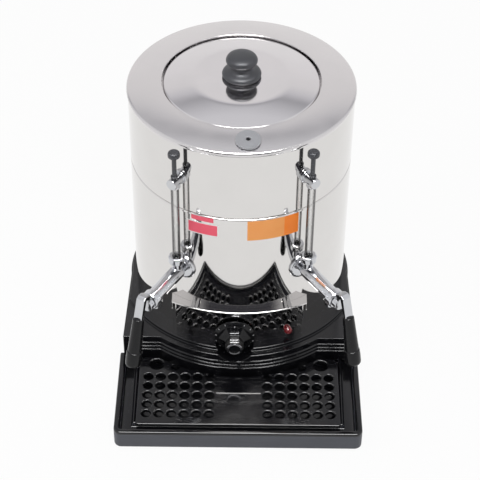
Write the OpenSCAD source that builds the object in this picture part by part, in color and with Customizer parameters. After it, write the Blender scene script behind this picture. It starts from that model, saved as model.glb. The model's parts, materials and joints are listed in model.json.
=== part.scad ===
// Coffee urn with a water jacket, an inner pot, two lever taps with sight gauges and a drip tray base.
// Millimetres. +Z is up, the taps face -Y, and the floor is at z = 0.

/* [Body] */
// Outer diameter of the steel body
body_d = 250; // [230:1:256]
// Thickness of the steel sheet
sheet_t = 1.2; // [0.8:0.1:2]
// Height of the seam between the lower and the upper shell
seam_z = 234; // [215:1:260]
// Height of the top ring's outer edge
rim_z = 325; // [315:1:345]
// Depth of the top ring's turned-down lip
lip_depth = 6; // [4:0.5:12]
// Rise of the top ring from its edge to its opening
ring_rise = 4.5; // [2:0.5:8]
// Diameter of the opening in the top ring
opening_d = 175; // [150:1:180]
// Depth of the neck below the opening
neck_depth = 12; // [8:0.5:18]
// Width of the ledge at the foot of the neck
ledge_w = 4; // [3:0.5:8]
// Turn of the body on its base, in degrees
body_turn = 1.5; // [-4:0.5:4]
// Height of the floor of the water jacket
tank_floor_z = 112; // [108:1:118]
// Height of the floor of the inner pot
pot_floor_z = 139; // [136:1:141]

/* [Lid] */
// Gap between the lid and the neck
lid_gap = 1.5; // [0.8:0.1:3]
// Diameter of the lid's flat centre
lid_flat_d = 106; // [80:1:130]
// Rise of the lid from its edge to its flat centre
lid_rise = 4; // [2:0.5:8]
// Height of the lid's edge above the opening
lid_edge_h = 0.8; // [0.4:0.2:3]
// Diameter of the lid knob's lower flange
lid_knob_d = 43; // [36:1:50]
// Diameter of the lid knob's dome
lid_knob_top_d = 34.6; // [30:0.2:40]
// Diameter of the lid knob's neck
lid_knob_neck_d = 25; // [18:1:28]
// Height of the lid knob
lid_knob_h = 27.5; // [26:0.5:34]
// Diameter of the screw that holds the lid knob
lid_screw_d = 5; // [4:0.5:6]

/* [Filler cap] */
// Distance of the filler cap from the body's axis
vent_r = 108; // [104:0.5:110]
// Azimuth of the filler cap from the front, in degrees
vent_az = 2.5; // [-10:0.5:10]
// Diameter of the filler cap
vent_d = 27; // [24:0.5:28]
// Thickness of the filler cap
vent_t = 3; // [2:0.5:5]
// Diameter of the filler hole
filler_d = 19; // [14:0.5:21]
// Diameter of the steam hole in the cap
steam_d = 5; // [3:0.5:7]

/* [Base] */
// Width of the base at the tray
base_w = 276; // [272:1:290]
// Distance from the body's axis to the front of the base
base_front = 245; // [240:1:260]
// Height of the tray rim
rim_h = 26.6; // [24:0.2:30]
// Height of the block behind the tray
block_h = 52; // [48:1:54]
// Height of the round plinth that carries the body
plinth_z = 56; // [55:0.5:60]
// Diameter of the plinth
plinth_d = 287; // [280:1:292]
// Distance from the body's axis to the straight front of the block
block_front = 121.5; // [118:0.5:124]
// Width of the block at its front
block_w = 268; // [264:1:271]
// Diameter of the round back of the block
block_back_d = 263; // [258:1:266]
// Diameter of the round bulge in the block's front
bulge_d = 303; // [300:1:308]
// Radius of the fillet between the bulge and the straight front
bulge_fillet = 12; // [6:1:20]
// Wall thickness of the moulding
base_wall = 3; // [2:0.25:4]
// Radius of the tray's front corners
corner_r = 8; // [5:0.5:12]
// Height of the block's moulded ribs above the floor, lowest first
rib_z = [31.7, 36.9, 42.6]; // [30:0.1:46]
// Height of one rib
rib_h = 1.8; // [1:0.1:2.5]
// How far a rib stands out
rib_out = 1.2; // [0.6:0.1:1.6]
// Thickness of the tray rim
rim_t = 6; // [3:0.25:8]
// Height of the tray floor
tray_floor_z = 9; // [7:0.5:11]
// Thickness of the bottom plate
plate_t = 1.5; // [1:0.25:2]

/* [Drip grille] */
// Width of the grille
grille_w = 229; // [224:1:234]
// Distance from the body's axis to the grille's front edge
grille_front = 232; // [230:0.5:234]
// Thickness of the grille
grille_t = 4; // [3:0.25:4.5]
// Width of the groove between the grille and the block
grille_groove = 6.5; // [4:0.5:8]
// Diameter of the small round holes
hole_d = 10.5; // [8:0.25:12]
// Distance between hole centres
hole_pitch = 14.1; // [13:0.1:14.5]
// Number of holes across each half
hole_cols = 6; // [4:1:6]
// Number of rows of holes
hole_rows = 5; // [3:1:5]
// Distance from the centre line to the first column of holes
hole_x = 32.5; // [30:0.5:34]
// Distance from the body's axis to the first row of holes
hole_y = 159.6; // [158:0.2:162]
// Diameter of the large hole near each back corner
corner_hole_d = 16; // [12:0.5:17]
// Diameter of the hole beside the large one
side_hole_d = 9.4; // [7:0.2:11]
// Depth of the line moulded across the grille's plain middle
step_depth = 1.2; // [0.6:0.2:2]
// Distance of that line from the body's axis
step_front = 186; // [182:1:190]

/* [Control panel] */
// Width of the control panel
panel_w = 152; // [140:1:156]
// Radius of the panel's bowed front
panel_r = 172; // [165:1:185]
// How far the panel stands out of the body at its middle
panel_out = 6; // [5.5:0.25:8]
// Height of the top of the panel's steel ledge
panel_top_z = 101; // [98:0.5:104]
// Wall thickness of the panel
panel_wall = 2.5; // [2:0.25:3]
// Length of the ledge's turned-down ends
ledge_tab = 10; // [6:0.5:16]
// Sideways place of the thermostat's axis
dial_x = -5; // [-8:0.5:8]
// Height of the thermostat's axis
dial_z = 68; // [66:0.5:72]
// Diameter of the dial skirt
dial_d = 46; // [42:0.5:48]
// Length of the thermostat knob
dial_len = 23; // [18:0.5:26]
// Width of the knob's grip bar
dial_bar_w = 17; // [13:0.5:20]
// Diameter of the thermostat's shaft
dial_shaft_d = 6; // [5:0.25:6.5]
// Sideways place of the pilot lamp
lamp_x = 55.7; // [48:0.5:60]
// Height of the pilot lamp
lamp_z = 67; // [66:0.5:72]
// Diameter of the pilot lamp
lamp_d = 9; // [7:0.5:10]

/* [Taps] */
// Azimuth of each tap from the front, in degrees
tap_az = 32; // [29:0.5:34]
// Height of the tap's barrel
tap_z = 151.5; // [150:0.5:158]
// Diameter of the tap's barrel
barrel_d = 17; // [16:0.25:18]
// Diameter of the tap's shank
shank_d = 12; // [10:0.5:13]
// Diameter of the tap's wall flange
flange_d = 32; // [28:0.5:32]
// Thickness of the tap's wall flange
flange_t = 3; // [2.5:0.25:3]
// Distance from the body to the sight gauge's axis
gauge_out = 12; // [12:0.5:16]
// Distance from the body to the spout's axis
spout_out = 55.5; // [52:0.5:58]
// Distance from the body to the end of the barrel
barrel_len = 63.5; // [62.5:0.5:68]
// Diameter of the bonnet nut
bonnet_d = 21; // [20:0.5:23]
// Height of the spout's mouth
spout_z = 135.5; // [132:0.5:139]
// Diameter of the spout's nozzle
spout_d = 12; // [10:0.5:13]
// Diameter of the waterway
water_d = 7; // [5:0.5:8]
// Diameter of the valve rotor
rotor_d = 12; // [11:0.25:12.5]
// Width of the flat lever
lever_w = 10; // [8:0.5:11]
// Thickness of the flat lever
lever_t = 4.5; // [3.5:0.25:5]
// How far the lever's corner stands above the barrel's axis
lever_rise = 16; // [13:0.5:18]
// Length of the lever's flat shank
lever_shank = 24; // [20:0.5:26]
// Lean of the hanging lever, in degrees
lever_lean = 14; // [8:0.5:18]
// Length of the lever's grip
grip_len = 62; // [54:1:66]
// Diameter of the grip at its top
grip_top_d = 12.5; // [12.5:0.25:14]
// Diameter of the grip at its foot
grip_d = 18; // [16:0.25:20]

/* [Sight gauges] */
// Diameter of the sight tube
tube_d = 9; // [8:0.25:10]
// Wall of the sight tube
tube_wall = 1.2; // [0.9:0.05:1.4]
// Height of the gland nut's top
gland_z = 176; // [175:0.5:180]
// Diameter of the gland nut
gland_d = 18.5; // [17:0.25:19]
// Height of the gauge's top arm
arm_z = 280; // [274:0.5:286]
// Diameter of the gauge's top arm
arm_d = 12; // [11:0.25:13]
// Length of the gauge plug's stem above the arm
plug_stem = 27.5; // [20:0.5:30]
// Diameter of the gauge plug's stem
plug_stem_d = 5; // [4:0.25:6]
// Diameter of the gauge plug's cap
plug_cap_d = 13; // [10:0.25:14]
// Height of the gauge plug's cap
plug_cap_h = 7; // [6:0.5:9]

/* [Fits] */
// Gap between fixed pieces that fit together
fit_gap = 0.1; // [0.05:0.05:0.2]
// Gap between pieces that move past each other
run_gap = 0.4; // [0.3:0.05:0.5]
// Height of the rubber feet below the base
foot_h = 2; // [1.5:0.25:3]
// Diameter of the rubber feet
foot_d = 18; // [14:0.5:20]
// Diameter of the bottom plate's screws
screw_d = 4; // [3:0.5:5]

/* [Hidden] */
$fn = 96;
fine = 360;
SIDES = ["left", "right"];

STEEL = [0.86, 0.86, 0.85];
CHROME = [0.80, 0.80, 0.82];
BLACK = [0.07, 0.07, 0.08];
DARK = [0.15, 0.15, 0.16];
BRASS = [0.78, 0.66, 0.38];
big = 400;
over = 0.5;

// Body
body_r = body_d / 2;
shell_in_r = body_r - sheet_t;
ring_r = body_r + fit_gap + sheet_t - 0.2;
opening_r = opening_d / 2;
opening_z = rim_z + ring_rise;
neck_z = opening_z - neck_depth;
pot_in_r = opening_r - ledge_w;
pot_r = pot_in_r + sheet_t;
ring_edge_t = 0.8;
ring_slope = ring_rise / (ring_r - ring_edge_t - opening_r - sheet_t);
seam_half = 0.5;
joggle_h = 8;

// Lid
lid_r = opening_r - lid_gap;
lid_edge_z = opening_z + lid_edge_h;
lid_top_z = lid_edge_z + lid_rise;
lid_seat_z = neck_z + sheet_t + run_gap;
lid_t = 1;
lid_bead = 3;
lid_roll = [12, 7]; // reach and depth of the rolled rim

// Filler cap, set square to the ring's slope
vent_tilt = atan(ring_slope);
vent_z = rim_z + (ring_r - ring_edge_t - vent_r) * ring_slope;
spigot_len = 7;

// Base
base_x = base_w / 2;
block_x = block_w / 2;
back_r = block_back_d / 2;
bulge_r = bulge_d / 2;
plinth_r = plinth_d / 2;
tray_back = block_front + fit_gap;
fillet_y = -block_front - bulge_fillet;
fillet_x = sqrt(pow(bulge_r + bulge_fillet, 2) - pow(fillet_y, 2));
fillet_bite = 0.2; // the fillet's circle crosses its neighbours a little, so that they meet in clean corners
well_ledge = 6;
ledge_z = rim_h - 0.6 - grille_t;
grille_z = ledge_z + run_gap;
step_x = hole_x - hole_d / 2 - 1;
step_width = 3;
base_hole_r = 104;
plate_z = foot_h + 1;
boss_d = 10;
boss_at = [[-98, -84], [98, -84], [-82, 80], [82, 80]];
tray_foot_at = [[-base_x + 20, -base_front + 20], [base_x - 20, -base_front + 20]];
plate_foot_at = [[-70, 88], [70, 88], [-70, -75], [70, -75]];
tab_x = 115;
tab_w = 12;
tab_z = 12;
tab_h = 4;
tab_reach = 5;
vent_slot = [50, 5, 20]; // length, width and spacing of the bottom plate's slots
gland_at_z = 27;
gland_bore_d = 8;
gland_body_d = 13;
gland_flange_d = 20;
gland_out = 8.5;
pocket_gap = 1.5;

// The model stands with the middle of its footprint over the origin
axis_y = (base_front - back_r - gland_out) / 2;

// Control panel
panel_face = body_r + panel_out;
panel_c = panel_r - panel_face;
ledge_sheet = 1.2;
panel_cap_z = panel_top_z - ledge_sheet;
dial_back = panel_face + 2.2 + run_gap;
dial_front = dial_back + dial_len;
bush_d = 9.6;
sleeve_d = 14;
stat_d = 38;
stat_len = 26;
stat_front = shell_in_r - 8;
stat_back_y = -stat_front + stat_len;
lamp_face = sqrt(panel_r * panel_r - lamp_x * lamp_x) - panel_c;
lamp_turn = asin(lamp_x / panel_r);
lamp_len = 26;
lamp_stem_d = lamp_d - 2;
stat_nut_d = 16;
stat_nut_t = 2;

// Taps, in a frame whose x axis points out of the body at the tap
gauge_x = body_r + gauge_out;
spout_x = body_r + spout_out;
barrel_end = body_r + barrel_len;
chamber_x = spout_x - 12;
bonnet_len = 9;
bonnet_x = barrel_end + bonnet_len / 2;
hub_x = bonnet_x + run_gap;
stem_d = 9;
shank_in = body_r - 14;
branch_d = tube_d + 2.8;
branch_z = gland_z - 5;
socket_z = branch_z - 5;
gland_h = 8;
seal_h = 3;
arm_end = gauge_x + arm_d / 2 + 1;
arm_socket_z = arm_z - 6.5;
arm_thread_d = 8;
tube_top_z = arm_z - 3.2;
plug_z = arm_z + arm_d / 2;
lock_nut_t = 5;
corner_x = hub_x + 15;
corner_z = tap_z + lever_rise;
tang = 8;
cap_round = 3;

// Frames
module at_axis() { translate([0, axis_y, 0]) children(); }
module at_body() { at_axis() rotate([0, 0, body_turn]) children(); }
module at_tap(side) {
  turn = side == "left" ? -tap_az : tap_az;
  at_body() rotate([0, 0, turn - 90]) children();
}
module along_x(x0, x1, d, z = 0) { translate([x0, 0, z]) rotate([0, 90, 0]) cylinder(d = d, h = x1 - x0); }
module along_z(z0, z1, d, x = 0, y = 0) { translate([x, y, z0]) cylinder(d = d, h = z1 - z0); }
module along_y(y0, y1, d, x = 0, z = 0) { translate([x, y1, z]) rotate([90, 0, 0]) cylinder(d = d, h = y1 - y0); }
module tube(z0, z1, r_out, r_in) {
  difference() {
    along_z(z0, z1, 2 * r_out);
    along_z(z0 - over, z1 + over, 2 * r_in);
  }
}
module hex_x(x0, x1, flats, z = 0) {
  translate([x0, 0, z]) rotate([0, 90, 0]) cylinder(d = flats / cos(30), h = x1 - x0, $fn = 6);
}

// Outlines of the base, seen from above, with the body's axis at the origin
module tray_outline(inset = 0, back = tray_back) {
  r = max(corner_r - inset, 0.5);
  x = base_x - inset;
  y = base_front - inset;
  translate([-x, -y + r]) square([2 * x, y - r - back]);
  translate([-x + r, -y]) square([2 * (x - r), r + over]);
  for (s = [-1, 1]) translate([s * (x - r), -y + r]) circle(r = r);
}
module bulge_fillets(inset = 0) {
  reach = (bulge_r - 12) / (bulge_r + bulge_fillet);
  for (s = [-1, 1]) difference() {
    polygon([[s * fillet_x, -block_front + 20], [s * (fillet_x - 30), -block_front + 20],
             [s * fillet_x * reach, fillet_y * reach], [s * fillet_x, fillet_y]]);
    translate([s * fillet_x, fillet_y]) circle(r = max(bulge_fillet + inset + fillet_bite, 1));
  }
}
module block_outline(inset = 0, fillets = true) {
  x = block_x - inset;
  r = back_r - inset;
  polygon([[-x, -block_front + inset], [x, -block_front + inset], [r - 1.5, 12], [1.5 - r, 12]]);
  circle(r = r);
  intersection() {
    circle(r = bulge_r - inset);
    translate([-block_x + inset, -bulge_r]) square([2 * (block_x - inset), bulge_r - block_front + 20]);
  }
  if (fillets) bulge_fillets(inset);
}
module plinth_outline(inset = 0) {
  intersection() {
    circle(r = plinth_r - inset);
    block_outline(2 + inset);
  }
}
module grille_outline(inset = 0) {
  x = grille_w / 2 - inset;
  back = block_front + grille_groove + inset;
  front = grille_front - inset;
  front_r = 3;
  back_r2 = 9;
  difference() {
    union() {
      translate([-x, -front + front_r]) square([2 * x, front - front_r - back - back_r2]);
      translate([-x + front_r, -front]) square([2 * (x - front_r), front - back - back_r2]);
      translate([-x + back_r2, -front + front_r]) square([2 * (x - back_r2), front - front_r - back]);
      for (s = [-1, 1]) {
        translate([s * (x - front_r), -front + front_r]) circle(r = front_r);
        translate([s * (x - back_r2), -back - back_r2]) circle(r = back_r2);
      }
    }
    circle(r = bulge_r + grille_groove + inset);
    bulge_fillets(-grille_groove - inset);
  }
}

module base_ribs() {
  for (z = rib_z) translate([0, 0, z - rib_h / 2]) linear_extrude(rib_h) intersection() {
    difference() {
      block_outline(-rib_out);
      block_outline(base_wall / 2);
    }
    translate([-block_x + corner_r, -big]) square([2 * (block_x - corner_r), big - block_front + 1]);
  }
}
// The tray's two tabs hook into the block's front wall
module tray_tabs(gap = 0) {
  for (t = [-1, 1]) translate([t * tab_x - tab_w / 2 - gap, -block_front - 1, tab_z - gap])
    cube([tab_w + 2 * gap, base_wall + tab_reach + 1 + gap, tab_h + 2 * gap]);
}
module tray_moulding() {
  color(BLACK) at_axis() {
    difference() {
      translate([0, 0, foot_h]) linear_extrude(rim_h - foot_h) tray_outline();
      // Groove round the grille, and the well below it
      translate([0, 0, ledge_z]) linear_extrude(big) tray_outline(rim_t, tray_back - 5);
      translate([0, 0, tray_floor_z]) linear_extrude(big) grille_outline(well_ledge);
      // Hollow under the tray, and room for the block's bulge
      translate([0, 0, -over]) linear_extrude(tray_floor_z - base_wall + over) difference() {
        tray_outline(base_wall);
        block_outline(-base_wall);
      }
      translate([0, 0, -over]) linear_extrude(big) {
        circle(r = bulge_r + fit_gap);
        bulge_fillets(-fit_gap);
      }
    }
    tray_tabs();
  }
}
module base_moulding() {
  color(BLACK) at_axis() difference() {
    union() {
      translate([0, 0, foot_h]) linear_extrude(block_h - foot_h) block_outline();
      translate([0, 0, block_h - 1]) linear_extrude(plinth_z - block_h + 1) plinth_outline();
      base_ribs();
    }
    // Hollow inside the block, with screw bosses and a wall round the dial's pocket left standing
    difference() {
      translate([0, 0, -over]) linear_extrude(block_h - base_wall + over) block_outline(base_wall);
      for (p = boss_at) along_z(plate_z + plate_t, big, boss_d, p[0], p[1]);
      along_y(-big, -panel_face + base_wall + 1, dial_d + 2 * (pocket_gap + base_wall), dial_x, dial_z);
    }
    along_z(0, big, 2 * base_hole_r);
    along_y(-stat_front - 2, 0, stat_d + 4, dial_x, dial_z);
    for (p = boss_at) along_z(0, plate_z + plate_t + 14, screw_d - 0.4, p[0], p[1]);
    // Pocket that clears the dial skirt
    along_y(-big, -panel_face, dial_d + 2 * pocket_gap, dial_x, dial_z);
    along_y(back_r - base_wall - 5, big, gland_body_d + 2 * fit_gap, 0, gland_at_z);
    tray_tabs(fit_gap);
  }
}
module base_plate() {
  color(DARK) at_axis() difference() {
    translate([0, 0, plate_z]) linear_extrude(plate_t) block_outline(base_wall + fit_gap, false);
    for (p = boss_at) along_z(0, big, screw_d + 2 * fit_gap, p[0], p[1]);
    for (k = [-2:1]) translate([-vent_slot[0] / 2, (k + 0.5) * vent_slot[2], 0]) cube([vent_slot[0], vent_slot[1], big]);
  }
}
module base_screws() {
  color(STEEL) at_axis() for (p = boss_at) {
    along_z(plate_z + plate_t - over, plate_z + plate_t + 12, screw_d - 0.4 - 2 * fit_gap, p[0], p[1]);
    along_z(plate_z - 0.5, plate_z + plate_t, screw_d, p[0], p[1]);
    along_z(plate_z - 2.3, plate_z, 2 * screw_d, p[0], p[1]);
  }
}
module rubber_feet() {
  color(BLACK) at_axis() {
    for (p = tray_foot_at) along_z(0, tray_floor_z - base_wall, foot_d, p[0], p[1]);
    for (p = plate_foot_at) along_z(0, plate_z, foot_d, p[0], p[1]);
  }
}
module cord_gland() {
  color(DARK) at_axis() difference() {
    union() {
      along_y(back_r - base_wall - 6, back_r + 2, gland_body_d, 0, gland_at_z);
      difference() {
        along_y(back_r - 2, back_r + 3, gland_flange_d, 0, gland_at_z);
        along_z(0, big, 2 * (back_r + fit_gap));
      }
      along_y(back_r + 2, back_r + gland_out, gland_body_d, 0, gland_at_z);
      difference() {
        along_y(back_r - base_wall - 5, back_r - base_wall, gland_flange_d, 0, gland_at_z);
        difference() {
          along_z(0, big, big);
          along_z(0, big, 2 * (back_r - base_wall - fit_gap));
        }
      }
    }
    along_y(0, big, gland_bore_d, 0, gland_at_z);
  }
}
terminal_size = [48, 20, 16];
terminal_y = 58;
terminal_pitch = 14;
terminal_bore = 5;
function terminal_x(k) = (k - 1) * terminal_pitch;
module terminal_block() {
  color([0.9, 0.9, 0.86]) at_axis() difference() {
    translate([-terminal_size[0] / 2, terminal_y, plate_z + plate_t]) cube(terminal_size);
    for (k = [0:2]) along_y(0, big, terminal_bore, terminal_x(k), plate_z + plate_t + terminal_size[2] / 2);
  }
}
// An elbow's sphere is turned so that its poles and seam stay clear of the runs that meet in it
module elbow(before, at, after, d) {
  a = (before - at) / norm(before - at);
  b = (after - at) / norm(after - at);
  x = -(a + b) / norm(a + b);
  z = cross(a, b) / norm(cross(a, b));
  y = cross(z, x);
  multmatrix([[x[0], y[0], z[0], at[0]], [x[1], y[1], z[1], at[1]], [x[2], y[2], z[2], at[2]], [0, 0, 0, 1]])
    sphere(d = 1.2 * d);
}
// A lead made of straight runs with round elbows
module lead(points, d) {
  for (k = [0:len(points) - 2]) {
    v = points[k + 1] - points[k];
    translate(points[k]) rotate([0, acos(v[2] / norm(v)), atan2(v[1], v[0])]) cylinder(d = d, h = norm(v));
  }
  for (k = [1:len(points) - 2]) elbow(points[k - 1], points[k], points[k + 1], d);
}
lead_d = 3;
leg_r = 70;
leg_a = 160;
leg_bottom_z = 88;
leg_at = [for (s = [-1, 1]) [leg_r * cos(90 + s * leg_a), leg_r * sin(90 + s * leg_a)]];
module inner_leads() {
  z = plate_z + plate_t + terminal_size[2] / 2;
  y = terminal_y + fit_gap;
  color([0.75, 0.75, 0.72]) at_axis() {
    lead([[terminal_x(0), y, z], [terminal_x(0), 20, z], [leg_at[1][0], leg_at[1][1], z + 10],
          [leg_at[1][0], leg_at[1][1], leg_bottom_z]], lead_d);
    lead([[terminal_x(2), y, z], [terminal_x(2), -30, z], [dial_x - 8, stat_back_y + 12, dial_z - 20],
          [dial_x - 8, stat_back_y + 12, dial_z], [dial_x - 8, stat_back_y, dial_z]], lead_d);
    lead([[dial_x + 8, stat_back_y, dial_z], [dial_x + 8, stat_back_y + 10, dial_z],
          [leg_at[0][0], leg_at[0][1], leg_bottom_z - 12], [leg_at[0][0], leg_at[0][1], leg_bottom_z]], lead_d);
  }
}
corner_hole_at = [94.6, -140.3];
side_hole_at = [73, -144.5];
module drip_grille() {
  color(BLACK) at_axis() difference() {
    translate([0, 0, grille_z]) linear_extrude(grille_t) grille_outline();
    for (s = [-1, 1]) {
      for (c = [0:hole_cols - 1], r = [0:hole_rows - 1])
        along_z(0, big, hole_d, s * (hole_x + c * hole_pitch), -hole_y - r * hole_pitch);
      along_z(0, big, corner_hole_d, s * corner_hole_at[0], corner_hole_at[1]);
      along_z(0, big, side_hole_d, s * side_hole_at[0], side_hole_at[1]);
    }
    translate([-step_x, -step_front, grille_z + grille_t - step_depth]) cube([2 * step_x, step_width, big]);
  }
}

// Control panel
module panel_outline(inset = 0, back_r = body_r + fit_gap) {
  difference() {
    intersection() {
      translate([0, panel_c]) circle(r = panel_r - inset, $fn = 128);
      translate([-panel_w / 2 + inset, -big]) square([panel_w - 2 * inset, big - body_r / 2]);
    }
    circle(r = back_r);
  }
}
module at_lamp() { translate([lamp_x, -lamp_face, lamp_z]) rotate([0, 0, lamp_turn]) children(); }
module control_panel() {
  color(STEEL) at_axis() difference() {
    translate([0, 0, plinth_z]) linear_extrude(panel_cap_z - plinth_z) panel_outline();
    translate([0, 0, plinth_z - over]) linear_extrude(panel_cap_z - plinth_z - panel_wall + over)
      panel_outline(panel_wall, body_r - 2);
    along_y(-big, 0, bush_d + 2 * fit_gap, dial_x, dial_z);
    at_lamp() along_y(-lamp_len, lamp_len, lamp_stem_d + 2 * fit_gap);
  }
}
module panel_trim() {
  lap = 0.8;
  color(STEEL) at_axis() {
    translate([0, 0, panel_cap_z]) linear_extrude(ledge_sheet) panel_outline(-lap);
    translate([0, 0, panel_cap_z - ledge_tab]) linear_extrude(ledge_tab + over) difference() {
      panel_outline(-lap);
      translate([-panel_w / 2 - fit_gap / 2, -big]) square([panel_w + fit_gap, big]);
    }
  }
}
module thermostat_body() {
  color([0.8, 0.8, 0.78]) at_axis() difference() {
    union() {
      along_y(-stat_front, stat_back_y, stat_d, dial_x, dial_z);
      along_y(-panel_face + panel_wall + 0.6, -stat_front + 1, sleeve_d, dial_x, dial_z);
      along_y(-panel_face - 2, -stat_front + 1, bush_d, dial_x, dial_z);
    }
    along_y(-big, -stat_front + 12, dial_shaft_d + run_gap, dial_x, dial_z);
  }
}
module thermostat_nut() {
  color(STEEL) at_axis() difference() {
    translate([dial_x, -panel_face - fit_gap, dial_z]) rotate([90, 0, 0]) cylinder(d = stat_nut_d, h = stat_nut_t, $fn = 6);
    along_y(-big, 0, bush_d + 2 * fit_gap, dial_x, dial_z);
  }
}
module thermostat_shaft() {
  color(STEEL) at_axis() along_y(-dial_front + 8, -stat_front + 11.5, dial_shaft_d, dial_x, dial_z);
}
skirt_t = 5;
skirt_front_d = dial_d - 8;
module thermostat_knob() {
  bar_h = dial_d - 14;
  hub_d = dial_bar_w + 9;
  color(BLACK) at_axis() translate([dial_x, -dial_back, dial_z]) rotate([90, 0, 0]) difference() {
    union() {
      cylinder(d = dial_d, h = 2);
      translate([0, 0, 2]) cylinder(d1 = dial_d, d2 = skirt_front_d, h = skirt_t - 2);
      cylinder(d1 = hub_d + 8, d2 = hub_d - 4, h = dial_len - 3);
      translate([-dial_bar_w / 2, -bar_h / 2, 0]) cube([dial_bar_w, bar_h, dial_len - 2]);
      cylinder(d = dial_bar_w + 3, h = dial_len);
    }
    translate([0, 0, -over]) cylinder(d = 20, h = 2.4 + over);
    translate([0, 0, -over]) cylinder(d = dial_shaft_d + 2 * fit_gap, h = dial_len - 8 + over);
    translate([0, 0, dial_len - 1]) cylinder(d = dial_bar_w, h = 2);
  }
}
module knob_disc() {
  color(STEEL) at_axis() along_y(-dial_front, -dial_front + 1, dial_bar_w - 2 * fit_gap, dial_x, dial_z);
}
module pilot_lamp_body() {
  color(DARK) at_axis() at_lamp() along_y(0, lamp_len, lamp_stem_d);
}
module pilot_lamp_lens() {
  color([0.6, 0.02, 0.05]) at_axis() at_lamp() difference() {
    union() {
      along_y(-2, -fit_gap, lamp_d);
      translate([0, -2, 0]) sphere(d = lamp_d);
    }
    translate([-lamp_d, -fit_gap, -lamp_d]) cube(2 * lamp_d);
  }
}

// Steel body
module tap_holes(z, d) {
  for (s = [-1, 1]) rotate([0, 0, s * tap_az - 90]) along_x(body_r - 30, body_r + 20, d + 2 * fit_gap, z);
}
module lower_shell() {
  color(STEEL) difference() {
    at_body() difference() {
      tube(plinth_z + fit_gap, seam_z - seam_half, body_r, shell_in_r);
      tap_holes(tap_z, shank_d);
    }
    at_axis() {
      along_y(-big, 0, sleeve_d + 2 * fit_gap, dial_x, dial_z);
      at_lamp() along_y(-lamp_len, 2 * lamp_len, lamp_stem_d + 2 * fit_gap);
    }
  }
}
module upper_shell() {
  joggle_r = shell_in_r - fit_gap;
  color(STEEL) at_body() difference() {
    union() {
      tube(seam_z + seam_half, rim_z - sheet_t, body_r, shell_in_r);
      tube(seam_z - joggle_h, seam_z + joggle_h, joggle_r, joggle_r - sheet_t);
      tube(seam_z + seam_half, seam_z + joggle_h, body_r, joggle_r - sheet_t);
    }
    tap_holes(arm_z, arm_thread_d);
  }
}
module at_filler() {
  rotate([0, 0, vent_az - 90]) translate([vent_r, 0, vent_z]) rotate([0, vent_tilt, 0]) children();
}
module top_ring() {
  lip_z = rim_z - lip_depth;
  inner = body_r + fit_gap;
  color(STEEL) at_body() difference() {
    rotate_extrude() polygon([
      [inner, lip_z], [ring_r, lip_z], [ring_r, rim_z - ring_edge_t], [ring_r - ring_edge_t, rim_z],
      [opening_r + sheet_t, opening_z], [opening_r + 0.3, opening_z], [opening_r, opening_z - 0.3],
      [opening_r, neck_z + sheet_t], [pot_in_r, neck_z + sheet_t], [pot_in_r, neck_z],
      [opening_r + sheet_t, neck_z], [opening_r + sheet_t, opening_z - sheet_t], [inner, rim_z - sheet_t]]);
    at_filler() along_z(-20, 20, filler_d);
  }
}
module filler_cap() {
  color([0.62, 0.62, 0.62]) at_body() at_filler() difference() {
    union() {
      along_z(run_gap, vent_t - 0.6, vent_d);
      translate([0, 0, vent_t - 0.6]) cylinder(d1 = vent_d, d2 = vent_d - 1.2, h = 0.6);
      along_z(-spigot_len, run_gap + over, filler_d - 2 * run_gap);
    }
    along_z(-20, 20, steam_d);
    along_z(-20, -1.5, filler_d - 2 * run_gap - 3);
  }
}
module tank_floor() {
  color(STEEL) at_axis() difference() {
    along_z(tank_floor_z, tank_floor_z + sheet_t, 2 * (shell_in_r - fit_gap));
    for (p = leg_at) along_z(0, big, leg_d + 2 * fit_gap, p[0], p[1]);
    along_z(0, big, probe_d + 2 * fit_gap, 0, -probe_y);
  }
}
module inner_pot() {
  color(STEEL) at_body() difference() {
    union() {
      along_z(pot_floor_z, neck_z, 2 * pot_r);
      along_z(neck_z - sheet_t, neck_z, 2 * (opening_r + sheet_t));
    }
    along_z(pot_floor_z + sheet_t, big, 2 * pot_in_r);
    rotate([0, 0, -tap_az - 90]) along_x(0, big, water_d, tap_z);
  }
}
leg_d = 8;
leg_nut_d = 16;
leg_nut_t = 6;
loop_z = tank_floor_z + 16;
probe_d = 8;
probe_y = 96;
module heating_element() {
  color([0.45, 0.44, 0.42]) at_axis() {
    translate([0, 0, loop_z]) rotate([0, 0, 90 - leg_a]) rotate_extrude(angle = 2 * leg_a)
      translate([leg_r, 0]) circle(d = leg_d);
    for (p = leg_at) {
      along_z(leg_bottom_z, loop_z, leg_d, p[0], p[1]);
      translate([p[0], p[1], loop_z]) sphere(d = leg_d + 1);
    }
  }
}
module element_nuts() {
  color(BRASS) at_axis() for (p = leg_at) translate([p[0], p[1], tank_floor_z - leg_nut_t]) difference() {
    cylinder(d = leg_nut_d, h = leg_nut_t, $fn = 6);
    along_z(-1, leg_nut_t + 1, leg_d + 2 * fit_gap);
  }
}
module probe_pocket() {
  color(BRASS) at_axis() translate([0, -probe_y, 0]) difference() {
    union() {
      along_z(tank_floor_z - 14, tank_floor_z + 26, probe_d);
      along_z(tank_floor_z - 4, tank_floor_z, probe_d + 8);
    }
    along_z(0, tank_floor_z + 24, probe_d - 2);
  }
}
module coffee_pipe() {
  color(STEEL) at_tap("left") difference() {
    along_x(pot_in_r, shank_in, shank_d, tap_z);
    along_z(0, big, 2 * (pot_r + fit_gap));
    along_x(0, big, water_d, tap_z);
  }
}

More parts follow.
